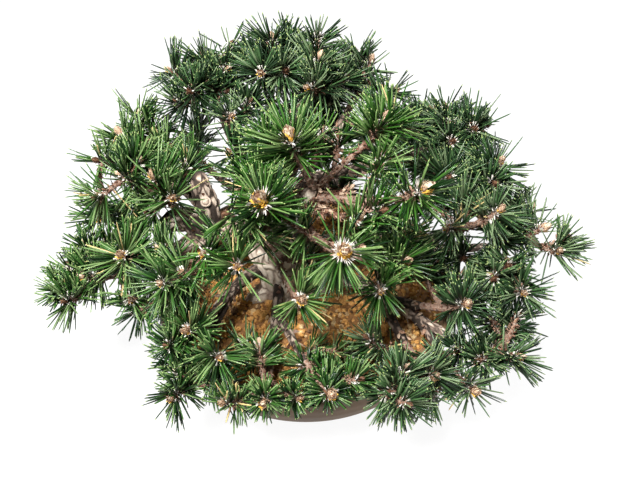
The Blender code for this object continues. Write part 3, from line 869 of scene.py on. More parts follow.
# The leading shoot, and the side shoots that leave its stem by turns
def growShoots(mass, limb, blocked):
    rule = random.Random(mass.name)
    start, tip = stemStart(mass, limb), limb.line[-1]
    axis = (tip - limb.line[-2]).normalized()
    leader = stretch(limb.line, start, limb.length, growth["stemSteps"])
    shoots = [Shoot(mass.name, leader, tip, axis, True)]
    twigs = []
    for i, side in enumerate(mass.sides):
        share = growth["firstSide"] + growth["sideStretch"] * i / len(mass.sides)
        root = along(limb.line, start + (limb.length - start) * share)
        lift = math.radians(rule.uniform(*growth["sideLift"]))
        reach = growth["sideReach"] * rule.uniform(1 - growth["sideSpread"], 1 + growth["sideSpread"])
        way = heading(side + rule.uniform(-growth["sideSway"], growth["sideSway"]))
        end = root + (way * math.cos(lift) + up * math.sin(lift)) * reach
        turn = growth["upturn"] + rule.uniform(-growth["upturnVaries"], growth["upturnVaries"])
        axis = (way + up * turn).normalized()
        first, last = root + way * reach * growth["leavingPull"], end - axis * reach * growth["arrivingPull"]
        coarse = interpolate_bezier(root, first, last, end, growth["coarsePoints"])
        crowded = any((end - other.tip).length < growth["shootSpacing"] for other in shoots)
        if not crowded and clearOf(coarse, end + axis * growth["budTip"], blocked):
            line = interpolate_bezier(root, first, last, end, growth["shootPoints"])
            shoots.append(Shoot(mass.name, line, end, axis, False))
            twigs.append(coarse)
    return shoots, twigs


limbs = {"trunk": straightLimb(trunk, trunk["bends"])}
for mass in masses:
    limbs[mass.name] = growLimb(mass, limbs)
oldLimbs = {name: straightLimb(given, oldBark["bends"]) for name, given in oldWood.items()}
wood = [piece for limb in [*limbs.values(), *oldLimbs.values()] if limb.end for piece in limb.pieces()]
shoots, twigPieces = [], []
for mass in masses:
    own = list(limbs[mass.name].pieces())[-2:] if mass.girth else []
    blocked = [piece for piece in wood if piece not in own] + twigPieces
    grown, twigs = growShoots(mass, limbs[mass.name], blocked)
    stem = stretch(grown[0].line, 0, lengthOf(grown[0].line), growth["stemPieces"])
    for line in [stem] + twigs:
        twigPieces += [(a, b, growth["twigRadius"]) for a, b in zip(line, line[1:])]
    shoots += grown


# A twig to a given end, from the nearest place on some lines
def growExtra(name, end, lines, fresh=0):
    end = Vector(end)
    roots = [along(line, lengthOf(line) * share) for line in lines for share in growth["extraFrom"]]
    root = min(roots, key=lambda place: (place - end).length)
    reach = (end - root).length
    way = ((end - root) * Vector((1, 1, 0))).normalized()
    axis = (way + up * growth["upturn"]).normalized()
    first, last = root + way * reach * growth["leavingPull"], end - axis * reach * growth["arrivingPull"]
    line = interpolate_bezier(root, first, last, end, growth["shootPoints"])
    return Shoot(name, line, end, axis, False, fresh)


# Finer twigs fill the room that is left between the shoots
def growFiner(shoot, number):
    rule = random.Random(f"{shoot.mass} finer {number}")
    length = lengthOf(shoot.line)
    for _ in range(growth["finer"]):
        root = along(shoot.line, length * rule.uniform(*growth["finerFrom"]))
        reach = rule.uniform(*growth["finerReach"])
        way, lift = heading(rule.uniform(0, 360)), math.radians(rule.uniform(*growth["finerLift"]))
        end = root + (way * math.cos(lift) + up * math.sin(lift)) * reach
        axis = (way + up * (growth["upturn"] + rule.uniform(-1, 1) * growth["upturnVaries"])).normalized()
        first, last = root + way * reach * growth["leavingPull"], end - axis * reach * growth["arrivingPull"]
        coarse = interpolate_bezier(root, first, last, end, growth["coarsePoints"])
        overSoil = end.z < growth["finerAbove"] and end.xy.length < pot["radius"]
        if overSoil or any((end - other.tip).length < growth["finerSpacing"] for other in shoots):
            continue
        if hides([end], growth["finerRoom"])[0]:
            continue
        if clearOf(coarse[1:], end + axis * growth["budTip"], wood):
            line = interpolate_bezier(root, first, last, end, growth["finerPoints"])
            shoots.append(Shoot(shoot.mass, line, end, axis, False))


shoots = [shoot for shoot in shoots if shoot.leading or not hides([shoot.tip])[0]]
for name, end, *fresh in extraTwigs:
    own = [shoot.line for shoot in shoots if shoot.mass == name and not shoot.leading]
    shoots.append(growExtra(name, end, [limbs[name].line] + own, *fresh))
deadShoots = [growExtra("top", end, [limbs["trunk"].line]) for end in deadTwigs]
for number, shoot in enumerate(list(shoots)):
    growFiner(shoot, number)
print("limbs and shoots grown:", len(limbs), "limbs,", len(shoots), "shoots")


# Bark

bark = {
    "step": 0.0010,
    "sides": 150,
    "boughStep": 0.0013,
    "fewestSides": 14,
    "plate": 0.0070,  # width of a plate on the trunk
    "longer": 2.1,  # how much longer than wide the plates are
    "depth": 0.0019,
    "boughPlate": (0.45, 25),  # share of the trunk's, and how much of it more for each metre of girth
    "boughDepth": (0.35, 40),
    # At radii of a bough's root: thin ones are darker
    "boughBleached": ((0.0040, -0.26), (0.0065, -0.15), (0.0085, 0.06)),
    "fullDepth": 0.008,  # limbs thinner than this have shallower bark
    "outermost": 0.75,  # relief that stands on the limb's own radius
    "bend": (1.3, 0.35),  # how often and how far the plates' edges wander
    "edge": (0.02, 0.30),  # where a crack ends and where the plate is whole
    "flake": 5.5,  # flakes across a plate
    "cellSeed": 31.7,
    "limbSeed": 700,
    "endRound": (0.8, 1.2),  # how far a limb closes in at its end, and over how many radii
    "endDark": 0.004,  # metres over which the bark darkens to a limb's end
    "boughSunk": 0.001,
    "collar": 0.35,  # how much a bough swells where it leaves its parent
    "collarLength": 0.010,
    "crack": (0.034, 0.022, 0.015),
    "brown": (0.200, 0.140, 0.105),
    "plateColour": (0.450, 0.360, 0.280),
    "bleached": (0.710, 0.620, 0.500),
}


# Places on a line, with the way ahead and two directions square to it
def framesAlong(line, places):
    nearby, steep = 0.002, 0.95
    points = [along(line, place) for place in places]
    across = Vector((1, 0, 0))
    for point, place in zip(points, places):
        ahead = (along(line, place + nearby) - along(line, max(place - nearby, 0))).normalized()
        if abs(across.dot(ahead)) > steep:
            across = Vector((0, 1, 0))
        across = (across - ahead * across.dot(ahead)).normalized()
        yield place, point, ahead, across, ahead.cross(across)


def rootSwell(angle, height):
    lobe = (0.5 + 0.5 * math.cos(trunk["roots"] * angle + trunk["rootTurn"])) ** trunk["rootSharpness"]
    side = 1 - trunk["rootLopsided"] * (0.5 - 0.5 * math.cos(angle + 2 * trunk["rootTurn"]))
    return trunk["rootReach"] * lobe * side * math.exp(-height / trunk["rootFade"])


def smoothStep(low, high, value):
    share = min(max((value - low) / (high - low), 0), 1)
    return share * share * (3 - 2 * share)


# How far the bark stands out at a place on a limb, and its tone: 0 in a crack, up to 1 on a plate
def barkRelief(place, size, seed):
    spot = Vector((place.x / size, place.y / size, place.z / (size * bark["longer"]))) + seed
    often, far = bark["bend"]
    near, homes = noise.voronoi(spot + noise.noise_vector(spot * often) * far)
    edge = smoothStep(*bark["edge"], near[1] - near[0])
    own = noise.cell(homes[0] * bark["cellSeed"])
    flakes = noise.noise(spot * bark["flake"])
    relief = edge * (0.55 + 0.45 * own) + flakes * 0.12
    return relief, edge * (0.45 + 0.40 * own) + 0.15 * flakes


def barkOver(limb, end, step, sides, plate, depth, swell, bleached=0.0):
    rings, tones = [], []
    seed = Vector(limb.line[-1]) * bark["limbSeed"]
    closes, over = bark["endRound"]
    count = max(int(end / step), 4)
    places = [end * i / count for i in range(count + 1)]
    for place, point, ahead, across, beside in framesAlong(limb.line, places):
        radius = limb.radius(place)
        radius *= math.sqrt(1 - closes * max(1 - (end - place) / (radius * over), 0) ** 2)
        shallow = depth * min(radius / bark["fullDepth"], 1)
        ring = []
        for angle in turnsOf(sides):
            out = across * math.cos(angle) + beside * math.sin(angle)
            swollen = radius + swell(angle, place)
            local = Vector((math.cos(angle) * swollen, math.sin(angle) * swollen, place))
            relief, tone = barkRelief(local, plate, seed)
            ring.append(point + out * (swollen + shallow * (relief - bark["outermost"])))
            tones.append(min(tone + bleached, 1) * min((end - place) / bark["endDark"], 1))
        rings.append(ring)
    return skin(rings), np.array(tones + [tones[0], tones[-1]])


def barkFinish():
    made = Finish("flaking bark", bark["plateColour"], 0.88)
    tone = made.node("Attribute", {"attribute_name": "tone"}, {}, "Fac")
    fine = made.speckle(0.0016, 4.0, 0.65)
    cloud = made.speckle(0.016, 2.0)
    mixed = tone * 0.80 + fine * 0.30 + cloud * 0.22 - 0.20
    made.wear({
        "Base Color": made.ramp(mixed, [
            (0.06, bark["crack"]), (0.26, bark["brown"]),
            (0.52, bark["plateColour"]), (0.86, bark["bleached"]),
        ]),
        "Normal": made.bump(fine, 0.0006, 0.55),
    })
    return made


def collar(limb):
    def swell(angle, place):
        return limb.radius(0) * bark["collar"] * math.exp(-place / bark["collarLength"])
    return swell


# The healed ring of a cut
def scarOn(limb):
    place = limb.end * scar["at"]
    way = Vector(scar["way"]).normalized()
    across = way.orthogonal().normalized()
    beside = way.cross(across)
    centre = along(limb.line, place) + way * limb.radius(place)
    rings = [
        [centre + way * high + (across * math.cos(angle) + beside * math.sin(angle)) * wide
         for angle in turnsOf(scar["sides"])]
        for wide, high in scar["rings"]
    ]
    tones = np.repeat(scar["tones"], scar["sides"])
    return skin(rings), np.append(tones, [tones[0], tones[-1]])


barked = Gather()
limb = limbs["trunk"]
# The trunk's paler tone is partly painted light
barked.add(*barkOver(
    limb, limb.end, bark["step"], bark["sides"], bark["plate"], bark["depth"], rootSwell, trunk["bleached"],
))
boughs = [mass for mass in masses if mass.girth]
for mass in boughs:
    limb = limbs[mass.name]
    sides = max(int(2 * math.pi * mass.girth / bark["boughStep"]), bark["fewestSides"])
    plate, depth = [
        bark[whole] * (bark[share][0] + bark[share][1] * mass.girth)
        for whole, share in (("plate", "boughPlate"), ("depth", "boughDepth"))
    ]
    end = limb.end + bark["boughSunk"]
    bleached = float(np.interp(mass.girth, *zip(*bark["boughBleached"])))
    barked.add(*barkOver(limb, end, bark["boughStep"], sides, plate, depth, collar(limb), bleached))
for name, limb in oldLimbs.items():
    sides, plate, depth = oldBark["sides"], oldBark["plate"], oldBark["depth"]
    bleached = oldWood[name]["bleached"]
    barked.add(*barkOver(limb, limb.end, bark["step"], sides, plate, depth, collar(limb), bleached))
barked.add(*scarOn(oldLimbs["stub"]))
barked.build("bark", "bark", ["trunk"] + [mass.name + "_bough" for mass in boughs], [barkFinish()])


# Twigs: scaly brown shoots

twig = {
    "step": 0.0016,
    "sides": 8,
    "fewestRings": 6,
    "leaderEnd": 0.95,  # share of the solid's radius at a leading shoot's end
    "sideTaper": (1.15, 0.9),  # and at a side shoot's root and end
    "knobbly": 0.0004,
    "scales": 52,  # on a whole stem
    "scaled": (0.06, 0.92),  # where on the twig they begin, and over how much of it
    "scaleLength": 0.0034,
    "scaleWidth": 0.0017,
    "scaleVaries": (0.7, 1.25),
    "sway": 0.4,
    "rooted": 0.85,
    "lean": 32,  # degrees that a scale stands off the twig
    "leanVaries": (-14, 18),
    "deal": (1, 1, 2),  # finishes of the scales
    "deadMore": 1.5,  # a dead twig has more and larger scales
    "deadLarger": 1.5,
    "deadDeal": (1, 2, 3),
    "dark": (0.085, 0.033, 0.018),
    "brown": (0.185, 0.080, 0.044),
    "light": (0.400, 0.255, 0.165),
    "grey": (0.260, 0.205, 0.160),
    "tan": (0.640, 0.490, 0.350),
}

flake = {
    "along": {"trunk": (0.50, 1.0), "bough": (0.0, 0.9)},
    "often": {"trunk": 1600, "bough": 450},  # on each metre
    "lean": (12, 50),
    "turn": (-0.9, 0.9),
    "sizes": (0.0030, 0.0078),
    "width": 0.42,
    "thickness": 0.16,
    "rooted": 0.95,
    "deal": (0, 1, 2, 2, 3, 3),
}

# A pointed scale: across, out, and along, each from 0 to 1
scaleShape = Shape(
    np.array([(-0.45, 0, 0), (0.45, 0, 0), (0, 0.42, 0.30), (-0.5, 0.02, 0.5), (0.5, 0.02, 0.5),
              (0, -0.12, 0.35), (0, 0.10, 1)], float),
    np.array([(0, 1, 2), (0, 2, 3), (1, 4, 2), (3, 2, 6), (2, 4, 6), (0, 3, 5), (1, 5, 4),
              (3, 6, 5), (4, 5, 6), (0, 5, 1)]),
    np.zeros(10, int),
)


def twigFinish(name, dark, light):
    made = Finish(name, light, 0.85)
    fine = made.speckle(0.0012, 3.0, 0.6)
    made.wear({
        "Base Color": made.ramp(fine, [(0.35, dark), (0.65, light)]),
        "Normal": made.bump(fine, 0.0004, 0.5),
    })
    return made


# Dead scales and flakes of bark that still hang on the trunk and the boughs
def growFlakes(gathered):
    for name, limb in [*limbs.items(), *oldLimbs.items()]:
        rule = random.Random(name + " flakes")
        kind = "trunk" if name == "trunk" else "bough"
        first, last = flake["along"][kind]
        count = int(limb.end * (last - first) * flake["often"][kind])
        places = sorted(limb.end * rule.uniform(first, last) for _ in range(count))
        origins, axes, finishes = [], [], []
        for i, (place, point, ahead, across, beside) in enumerate(framesAlong(limb.line, places)):
            angle = rule.uniform(0, 2 * math.pi)
            out = across * math.cos(angle) + beside * math.sin(angle)
            lean = math.radians(rule.uniform(*flake["lean"]))
            turn = rule.uniform(*flake["turn"])
            fore = ahead * math.cos(turn) + ahead.cross(out) * math.sin(turn)
            way = fore * math.cos(lean) + out * math.sin(lean)
            face = out * math.cos(lean) - fore * math.sin(lean)
            size = rule.uniform(*flake["sizes"])
            origins.append(point + out * limb.radius(place) * flake["rooted"])
            axes.append([
                way.cross(face) * size * flake["width"], face * size * flake["thickness"], way * size,
            ])
            finishes.append([rule.choice(flake["deal"])])
        if origins:
            gathered.scatter(scaleShape, origins, axes, finishes)


def growTwigs():
    gathered = Gather()
    growFlakes(gathered)
    for number, shoot in enumerate(shoots + deadShoots):
        dead = number >= len(shoots)
        rule = random.Random(f"{shoot.mass} twig {number}")
        length = lengthOf(shoot.line)
        thick, thin = [growth["twigRadius"] * share for share in twig["sideTaper"]]
        if shoot.leading:
            thick, thin = growth["stemRadius"], growth["shootRadius"] * twig["leaderEnd"]
        count = max(int(length / twig["step"]), twig["fewestRings"])
        places = [length * i / count for i in range(count + 1)]
        rings = []
        for place, point, ahead, across, beside in framesAlong(shoot.line, places):
            radius = thick + (thin - thick) * place / length
            ring = []
            for angle in turnsOf(twig["sides"]):
                rough = twig["knobbly"] * rule.uniform(-1, 1)
                ring.append(point + (across * math.cos(angle) + beside * math.sin(angle)) * (radius + rough))
            rings.append(ring)
        gathered.add(skin(rings))
        count = int(twig["scales"] * length / growth["stem"] * (twig["deadMore"] if dead else 1))
        first, covered = twig["scaled"]
        places = [length * (first + covered * i / count) for i in range(count)]
        origins, axes, finishes = [], [], []
        for i, (place, point, ahead, across, beside) in enumerate(framesAlong(shoot.line, places)):
            angle = i * golden + rule.uniform(-1, 1) * twig["sway"]
            out = across * math.cos(angle) + beside * math.sin(angle)
            lean = math.radians(twig["lean"] + rule.uniform(*twig["leanVaries"]))
            way = ahead * math.cos(lean) + out * math.sin(lean)
            face = out * math.cos(lean) - ahead * math.sin(lean)
            size = rule.uniform(*twig["scaleVaries"]) * (twig["deadLarger"] if dead else 1)
            radius = thick + (thin - thick) * place / length
            origins.append(point + out * radius * twig["rooted"])
            axes.append([
                way.cross(face) * twig["scaleWidth"] * size,
                face * twig["scaleWidth"] * size,
                way * twig["scaleLength"] * size,
            ])
            finishes.append([rule.choice(twig["deadDeal" if dead else "deal"])])
        gathered.scatter(scaleShape, origins, axes, finishes)
    return gathered


twigFinishes = [
    twigFinish("twig", twig["brown"], twig["grey"]),
    twigFinish("twig scale", twig["dark"], twig["brown"]),
    twigFinish("dry twig scale", twig["brown"], twig["light"]),
    twigFinish("tan flake", twig["light"], twig["tan"]),
]
needleNodes = [mass.name + "_needles" for mass in masses]
growTwigs().build("twigs", "bark", needleNodes, twigFinishes, smooth=False)


# Buds

bud = {
    "length": 0.0115,
    "radius": 0.0036,
    "largeOn": ("top", "crown_left", "crown_front", "crown_right"),
    "large": 1.30,  # its size on the leading shoot of those, on another leading one, and on a side one
    "middle": 0.80,
    "small": 0.54,
    "sizeVaries": (0.88, 1.1),
    "sunk": 0.001,
    "core": 0.92,  # the core's radius under the scales, as a share of the bud's
    "scales": 52,
    "scaled": (0.02, 0.80),  # where the scales begin, and over how much of the bud
    "scaleLength": 0.0046,
    "scaleWidth": 0.0025,
    "scaleThickness": 0.6,  # beside its width
    "scaleVaries": (0.85, 1.15),
    "scaleGrows": 0.4,  # how much of a bud's size its scales take
    "fringe": 18,  # dry white scales round its foot
    "crownFringe": 64,
    "fringeLength": 0.0072,
    "fringeWidth": 0.0008,
    "fringeLean": (34, 78),
    "narrower": 0.45,  # how much narrower the scales are near the bud's end
    "rooted": 0.9,
    "sway": 0.15,
    "slopeStep": 0.05,
    "lean": 14,
    "leanVaries": (-6, 12),
    "baseUpTo": 0.10,
    "toneAlong": 0.9,  # the scales grow paler towards the bud's end; they are also paler on its upper side, as painted light from above, so the lower side shows amber as painted shade
    "paintedLightAbove": 0.35,
    "toneVaries": 0.20,
    "paler": (0.34, 0.60),  # tones above which a scale is rose, and cream
    "otherPaler": (0.10, 0.82),  # on a smaller bud
    "dull": 0.5,  # share of the small buds that are brown all over
    "dullFringe": 5,
    "profile": ((0, 0.55), (0.12, 0.85), (0.30, 1.0), (0.50, 0.95), (0.70, 0.74), (0.86, 0.44), (0.96, 0.18)),
    "sides": 10,
    "brown": (0.150, 0.072, 0.038),
    "base": (0.260, 0.130, 0.070),
    "amber": (0.830, 0.520, 0.090),
    "rose": (0.460, 0.310, 0.200),
    "cream": (0.580, 0.470, 0.340),
    "white": (0.640, 0.600, 0.550),
}


def budRadius(share):
    heights, widths = zip(*bud["profile"])
    return float(np.interp(share, heights, widths)) * bud["radius"]


def growBuds():
    gathered = Gather()
    first, covered = bud["scaled"]
    for number, shoot in enumerate(shoots):
        rule = random.Random(f"{shoot.mass} bud {number}")
        kind = "small" if not shoot.leading else "large" if shoot.mass in bud["largeOn"] else "middle"
        size = bud[kind] * rule.uniform(*bud["sizeVaries"])
        scaleSize = size ** bud["scaleGrows"]
        count = int(bud["scales"] * size * size / scaleSize ** 2)
        dull = kind == "small" and rule.random() < bud["dull"]
        across = shoot.axis.orthogonal().normalized()
        beside = shoot.axis.cross(across)
        foot = shoot.tip - shoot.axis * bud["sunk"]
        rings = []
        for share, _ in bud["profile"]:
            radius = budRadius(share) * size * bud["core"]
            centre = foot + shoot.axis * share * bud["length"] * size
            rings.append([
                centre + (across * math.cos(angle) + beside * math.sin(angle)) * radius
                for angle in turnsOf(bud["sides"])
            ])
        gathered.add(skin(rings, end=foot + shoot.axis * bud["length"] * size))
        origins, axes, finishes = [], [], []
        for i in range(count):
            share = first + covered * (i + 0.5) / count
            angle = i * golden + rule.uniform(-1, 1) * bud["sway"]
            out = across * math.cos(angle) + beside * math.sin(angle)
            rise = budRadius(share + bud["slopeStep"]) - budRadius(share)
            slope = math.atan2(rise, bud["slopeStep"] * bud["length"])
            lean = slope + math.radians(bud["lean"] + rule.uniform(*bud["leanVaries"]))
            way = shoot.axis * math.cos(lean) + out * math.sin(lean)
            face = out * math.cos(lean) - shoot.axis * math.sin(lean)
            wide = scaleSize * rule.uniform(*bud["scaleVaries"]) * (1 - bud["narrower"] * share)
            centre = foot + shoot.axis * share * bud["length"] * size
            origins.append(centre + out * budRadius(share) * size * bud["rooted"])
            axes.append([
                way.cross(face) * bud["scaleWidth"] * wide,
                face * bud["scaleWidth"] * wide * bud["scaleThickness"],
                way * bud["scaleLength"] * wide,
            ])
            # The upward-facing share is painted light: scales that face up come out paler, those facing down
            # darker amber
            tone = share * bud["toneAlong"] + out.z * bud["paintedLightAbove"]
            tone += rule.uniform(-1, 1) * bud["toneVaries"]
            rose, cream = bud["paler" if kind == "large" else "otherPaler"]
            paler = 2 if tone < rose else 3 if tone < cream else 4
            finishes.append([0 if dull else 1 if share < bud["baseUpTo"] else paler])
        count = bud["crownFringe" if kind == "large" else "dullFringe" if dull else "fringe"]
        for i in range(count):
            angle = 2 * math.pi * (i + rule.random()) / count
            out = across * math.cos(angle) + beside * math.sin(angle)
            lean = math.radians(rule.uniform(*bud["fringeLean"]))
            way = shoot.axis * math.cos(lean) + out * math.sin(lean)
            face = out * math.cos(lean) - shoot.axis * math.sin(lean)
            wide = size * rule.uniform(*bud["scaleVaries"])
            origins.append(foot + out * budRadius(0) * size * bud["rooted"])
            axes.append([
                way.cross(face) * bud["fringeWidth"] * wide,
                face * bud["fringeWidth"] * wide * bud["scaleThickness"],
                way * bud["fringeLength"] * wide,
            ])
            finishes.append([5])
        gathered.scatter(scaleShape, origins, axes, finishes)
    return gathered


budFinishes = [
    Finish("bud core", bud["brown"], 0.6),
    Finish("bud base scale", bud["base"], 0.6),
    Finish("bud amber scale", bud["amber"], 0.5),
    Finish("bud rose scale", bud["rose"], 0.6),
    Finish("bud cream scale", bud["cream"], 0.7),
    Finish("bud fringe", bud["white"], 0.8),
]
growBuds().build("buds", "needles", needleNodes, budFinishes, smooth=False)


# Needles: pairs out of a papery sheath, all round each shoot

needle = {
    "pairs": 86,
    "fewer": 0.84,  # on a side shoot
    "crowding": (0.85, 1.10),  # of a whole shoot
    "sway": 0.35,
    "rooted": 0.8,
    "nearest": 0.0005,  # metres below the shoot's end, of the highest and the lowest pair
    "farthest": (0.0140, 0.0205),
    "angles": ((40, 54), (92, 108)),  # degrees from the shoot, of the highest and the lowest pair
    "angleVaries": 12,
    "pull": (0.05, 0.34),  # how much all of a shoot's needles lean to one side
    "bare": (0.3, 1.5),  # how wide a side of the shoot has few needles, in radians
    "bareFrom": 0.22,
    "barer": 0.75,
    "bunches": 3,  # round a shoot, and how far its pairs keep to them, in radians and degrees
    "bunched": 0.20,
    "bunchedLean": 8,
    # At heights of a shoot's end: the lowest needles hang, and close round the bud
    "lifts": ((0.078, -0.34), (0.120, 0.10)),
    "opens": ((0.078, 0.50), (0.120, 1.0)),
    "angleCurve": 0.8,
    "apart": 5,  # degrees between each needle of a pair and the pair's middle
    "apartVaries": (0.4, 1.9),
    # At heights of a shoot's end
    "lengths": ((0.085, 0.0268), (0.130, 0.0290), (0.200, 0.0320), (0.232, 0.0320), (0.240, 0.0385)),
    "sideLengths": (0.74, 1.03),
    "trimmedAt": (-0.005, -0.150, 0.090),  # needles near this place, over the bowl's front, are short:
    "trimmed": ((0.025, 0.075), (0.62, 1.0)),
    "lengthVaries": 0.21,
    "twinVaries": (0.95, 1.03),
    "shorterEnds": 0.14,  # how much shorter the highest pairs of a shoot are
    "width": 0.00083,  # from a needle's middle to its edge
    "thickness": 0.00098,
    "bow": 0.0026,
    "bowVaries": (-0.4, 1.0),
    "bowUp": 0.4,
    "bowIn": 0.3,
    "twinBow": (-0.0008, 0.0012),
    "sheath": 0.0058,
    "sheathRadius": 0.00088,
    "sheathVaries": (0.85, 1.15),
    "worn": 0.45,  # from here down a shoot its pairs are old, with worn sheaths
    "wornSheath": 0.6,
    "brownSheath": (0.14, 2.2),  # where brown sheaths begin, and how fast they grow more
    "stations": ((0, 0.75), (0.50, 1), (0.93, 0.68)),  # along a needle, and its width there
    "section": ((-1, -0.3), (1, -0.3), (0, 0.7)),
    "shortest": 0.55,  # share of its length below which a needle is left out
    "over": 0.72,  # share of a neighbour's space that a needle may reach into
    "neighbours": 0.090,
    "clear": 0.0004,
    "overPot": 0.001,
    "checks": (0.35, 0.55, 0.75, 1.0),
    "hides": (0.3, 0.6, 0.9),
    "cutBack": 0.2,
    "freshness": (-0.24, 0.16),  # of a whole shoot
    # painted light and shade by region: front regions' needles paler as painted light, back and rear darker
    # as painted shade
    "regionLightAndShade": {"crown": 0.07, "left": 0.07, "right": 0.04, "back": -0.12, "rear": -0.14},
    "plucked": 0.88,  # of those that stand before an opening
    "deal": (1.15, 1.09, 0.64, 0.30),  # draws above which a needle is straw, straw if old, fresh, green
    "tipped": 0.6,
    "deep": (0.006, 0.027, 0.004),
    "green": (0.032, 0.100, 0.013),
    "fresh": (0.130, 0.216, 0.066),
    "grey": {"deep": (0.006, 0.003, 0.007), "green": (0.016, 0.004, 0.022), "fresh": (0.016, -0.008, 0.036)},
    "greyer": {"left": 0.25, "right": 1.0, "back": 1.1, "rear": 1.0},  # how much of that a region has
    "shine": 0.34,
    "tip": (0.240, 0.310, 0.100),
    "straw": (0.520, 0.400, 0.170),
    "papery": (0.590, 0.550, 0.490),
    "oldSheath": (0.250, 0.140, 0.090),
}


def needleShape():
    rings = [[(x * wide, y * wide, z) for x, y in needle["section"]] for z, wide in needle["stations"]]
    return skin(rings, end=(0, 0, 1), parts=[0] * len(rings) + [1])


def sheathShape():
    return skin([
        [(math.cos(angle) * wide, math.sin(angle) * wide, z) for angle in turnsOf(3)]
        for z, wide in ((0, 0.8), (1, 1))
    ])


woodFrom = np.array([a for a, b, radius in wood + twigPieces])
woodWay = np.array([b - a for a, b, radius in wood + twigPieces])
woodRadius = np.array([radius for a, b, radius in wood + twigPieces])
woodSquare = (woodWay ** 2).sum(1)
tips = np.array([shoot.tip for shoot in shoots])


# The share of each needle that keeps to its shoot's space, off the pot and clear of the limbs
def freeShares(roots, ends, shoot):
    tip = np.array(shoot.tip)
    apart = tips - tip
    gaps = np.linalg.norm(apart, axis=1)
    close = (gaps > 0) & (gaps < needle["neighbours"])
    normals = apart[close] / gaps[close][:, None]
    room = (((tips[close] + tip)[None] / 2 - roots[:, None]) * normals[None]).sum(2)
    room += needle["over"] * gaps[close] / 2
    run = ((ends - roots)[:, None] * normals[None]).sum(2)
    almostNone = 1e-6
    shares = np.where(run > almostNone, room / np.maximum(run, almostNone), 1).min(1, initial=1)
    for step in needle["checks"]:
        places = roots + (ends - roots) * step
        low = places[:, 2] < pot["height"] + needle["overPot"]
        inPot = low & (np.hypot(places[:, 0], places[:, 1]) < pot["radius"] + needle["overPot"])
        offset = places[:, None] - woodFrom[None]
        on = np.clip((offset * woodWay[None]).sum(2) / woodSquare[None], 0, 1)
        miss = np.linalg.norm(offset - on[..., None] * woodWay[None], axis=2) - woodRadius[None]
        hit = inPot | (miss.min(1) < needle["clear"])
        shares = np.where(hit, np.minimum(shares, step - needle["cutBack"]), shares)
    return shares


# The finish of a needle: 4 straw, 2 fresh, 1 green, 0 deep
def needleColour(draw, old):
    straw, oldStraw, fresh, green = needle["deal"]
    if draw > straw or (old and draw > oldStraw):
        return 4
    return 2 if draw > fresh else 1 if draw > green else 0


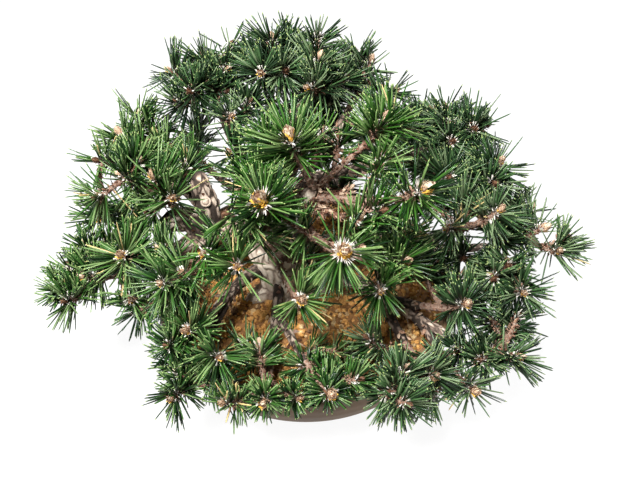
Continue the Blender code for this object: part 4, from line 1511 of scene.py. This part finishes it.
def growNeedles(region):
    gathered = Gather()
    roots, ends, sides, faces, bows, dealt = [], [], [], [], [], []
    sheaths, sheathAxes, sheathFinishes, spared = [], [], [], []
    for number, shoot in enumerate(shoots):
        if shoot.mass not in regions[region]:
            continue
        rule = random.Random(f"{shoot.mass} needles {number}")
        length = lengthOf(shoot.line)
        base = float(np.interp(shoot.tip.z, *zip(*needle["lengths"])))
        base *= 1 if shoot.leading else rule.uniform(*needle["sideLengths"])
        base *= float(np.interp((shoot.tip - Vector(needle["trimmedAt"])).length, *needle["trimmed"]))
        count = needle["pairs"] * (1 if shoot.leading else needle["fewer"])
        count = int(count * rule.uniform(*needle["crowding"]))
        # A shoot's freshness: random, plus painted light and shade by its region, plus painted shade on some
        # extra twigs
        freshness = rule.uniform(*needle["freshness"]) + needle["regionLightAndShade"].get(region, 0) + shoot.fresh
        turn, bareSide = rule.uniform(0, 2 * math.pi), rule.uniform(0, 2 * math.pi)
        bareCosine = math.cos(rule.uniform(*needle["bare"]) / 2)
        low, high = [rule.uniform(*ends) for ends in needle["angles"]]
        low *= float(np.interp(shoot.tip.z, *zip(*needle["opens"])))
        pull = Vector([rule.gauss(0, 1) for _ in range(3)]).normalized() * rule.uniform(*needle["pull"])
        covered = rule.uniform(*needle["farthest"]) - needle["nearest"]
        lift = up * float(np.interp(shoot.tip.z, *zip(*needle["lifts"])))
        places = [length - needle["nearest"] - covered * (i + 0.5) / count for i in range(count)]
        for i, (place, point, ahead, across, beside) in enumerate(framesAlong(shoot.line, places)):
            share = (i + 0.5) / count
            old = share > needle["worn"]
            angle = i * golden + rule.uniform(-1, 1) * needle["sway"]
            bare = share > needle["bareFrom"] and math.cos(angle - bareSide) > bareCosine
            if bare and rule.random() < needle["barer"]:
                continue
            bunch = math.sin(needle["bunches"] * angle + turn)
            angle += needle["bunched"] * bunch
            out = across * math.cos(angle) + beside * math.sin(angle)
            lean = low + (high - low) * share ** needle["angleCurve"] + needle["bunchedLean"] * bunch
            lean = math.radians(lean + rule.gauss(0, 1) * needle["angleVaries"])
            way = ahead * math.cos(lean) + out * math.sin(lean) + lift + pull
            way = way.normalized()
            root = point + out * growth["twigRadius"] * needle["rooted"]
            side = way.orthogonal().normalized()
            roll = rule.uniform(0, math.pi)
            plane = side * math.cos(roll) + way.cross(side) * math.sin(roll)
            flat = way.cross(plane)
            whole = base * rule.uniform(1 - needle["lengthVaries"], 1 + needle["lengthVaries"])
            whole *= 1 - needle["shorterEnds"] * (1 - math.sin(math.pi * min(share * 1.5, 1)))
            thick = needle["sheathRadius"] * rule.uniform(*needle["sheathVaries"])
            long = needle["sheath"] * (needle["wornSheath"] if old else 1)
            sheaths.append(root)
            sheathAxes.append([plane * thick, flat * thick, way * long])
            brown, more = needle["brownSheath"]
            sheathFinishes.append([6 if rule.random() < (share - brown) * more else 5])
            bow = (up * needle["bowUp"] - out * needle["bowIn"]).normalized() * needle["bow"]
            bow *= rule.uniform(*needle["bowVaries"])
            for hand in (-1, 1):
                spread = math.tan(math.radians(needle["apart"] * rule.uniform(*needle["apartVaries"])))
                twin = (way + plane * hand * spread).normalized() * whole
                twin *= rule.uniform(*needle["twinVaries"])
                roots.append(root)
                ends.append(root + twin)
                sides.append(flat)
                faces.append(plane * -hand)
                bows.append(bow + plane * hand * rule.uniform(*needle["twinBow"]))
                colour = needleColour(rule.random() + freshness, old)
                tipped = colour != 4 and rule.random() < needle["tipped"]
                dealt.append([colour, 3 if tipped else colour, number])
                spared.append(rule.random() > needle["plucked"])
    roots, ends, sides, faces, bows, dealt = map(np.array, (roots, ends, sides, faces, bows, dealt))
    shares = np.ones(len(roots))
    for number in set(dealt[:, 2].tolist()):
        mine = dealt[:, 2] == number
        shares[mine] = freeShares(roots[mine], ends[mine], shoots[number])
    kept = shares > needle["shortest"]
    for step in needle["hides"]:
        kept &= ~hides(roots + (ends - roots) * step) | np.array(spared)
    shares = np.minimum(shares, 1)[:, None]
    axes = np.stack([sides * needle["width"], faces * needle["thickness"], (ends - roots) * shares], 1)
    gathered.scatter(needleShape(), roots[kept], axes[kept], dealt[kept][:, :2], (bows * shares)[kept])
    paired = kept[::2] | kept[1::2]
    sheaths, sheathAxes, sheathFinishes = map(np.array, (sheaths, sheathAxes, sheathFinishes))
    gathered.scatter(sheathShape(), sheaths[paired], sheathAxes[paired], sheathFinishes[paired])
    return gathered


# The greens of a region
def greenFinishes(region):
    share = needle["greyer"].get(region, 0)
    for kind, roughness in (("deep", 0.30), ("green", 0.28), ("fresh", 0.30)):
        colour = tuple(tone + grey * share for tone, grey in zip(needle[kind], needle["grey"][kind]))
        made = Finish(f"{region} {kind} needle", colour, roughness)
        yield made.wear({"Specular IOR Level": needle["shine"]})


otherFinishes = [
    Finish("needle tip", needle["tip"], 0.5),
    Finish("straw needle", needle["straw"], 0.6),
    Finish("papery sheath", needle["papery"], 0.8),
    Finish("old sheath", needle["oldSheath"], 0.85),
]
for region, names in regions.items():
    nodes = [name + "_needles" for name in names]
    finishes = [*greenFinishes(region), *otherFinishes]
    growNeedles(region).build(region + "_needle_pairs", "needles", nodes, finishes)
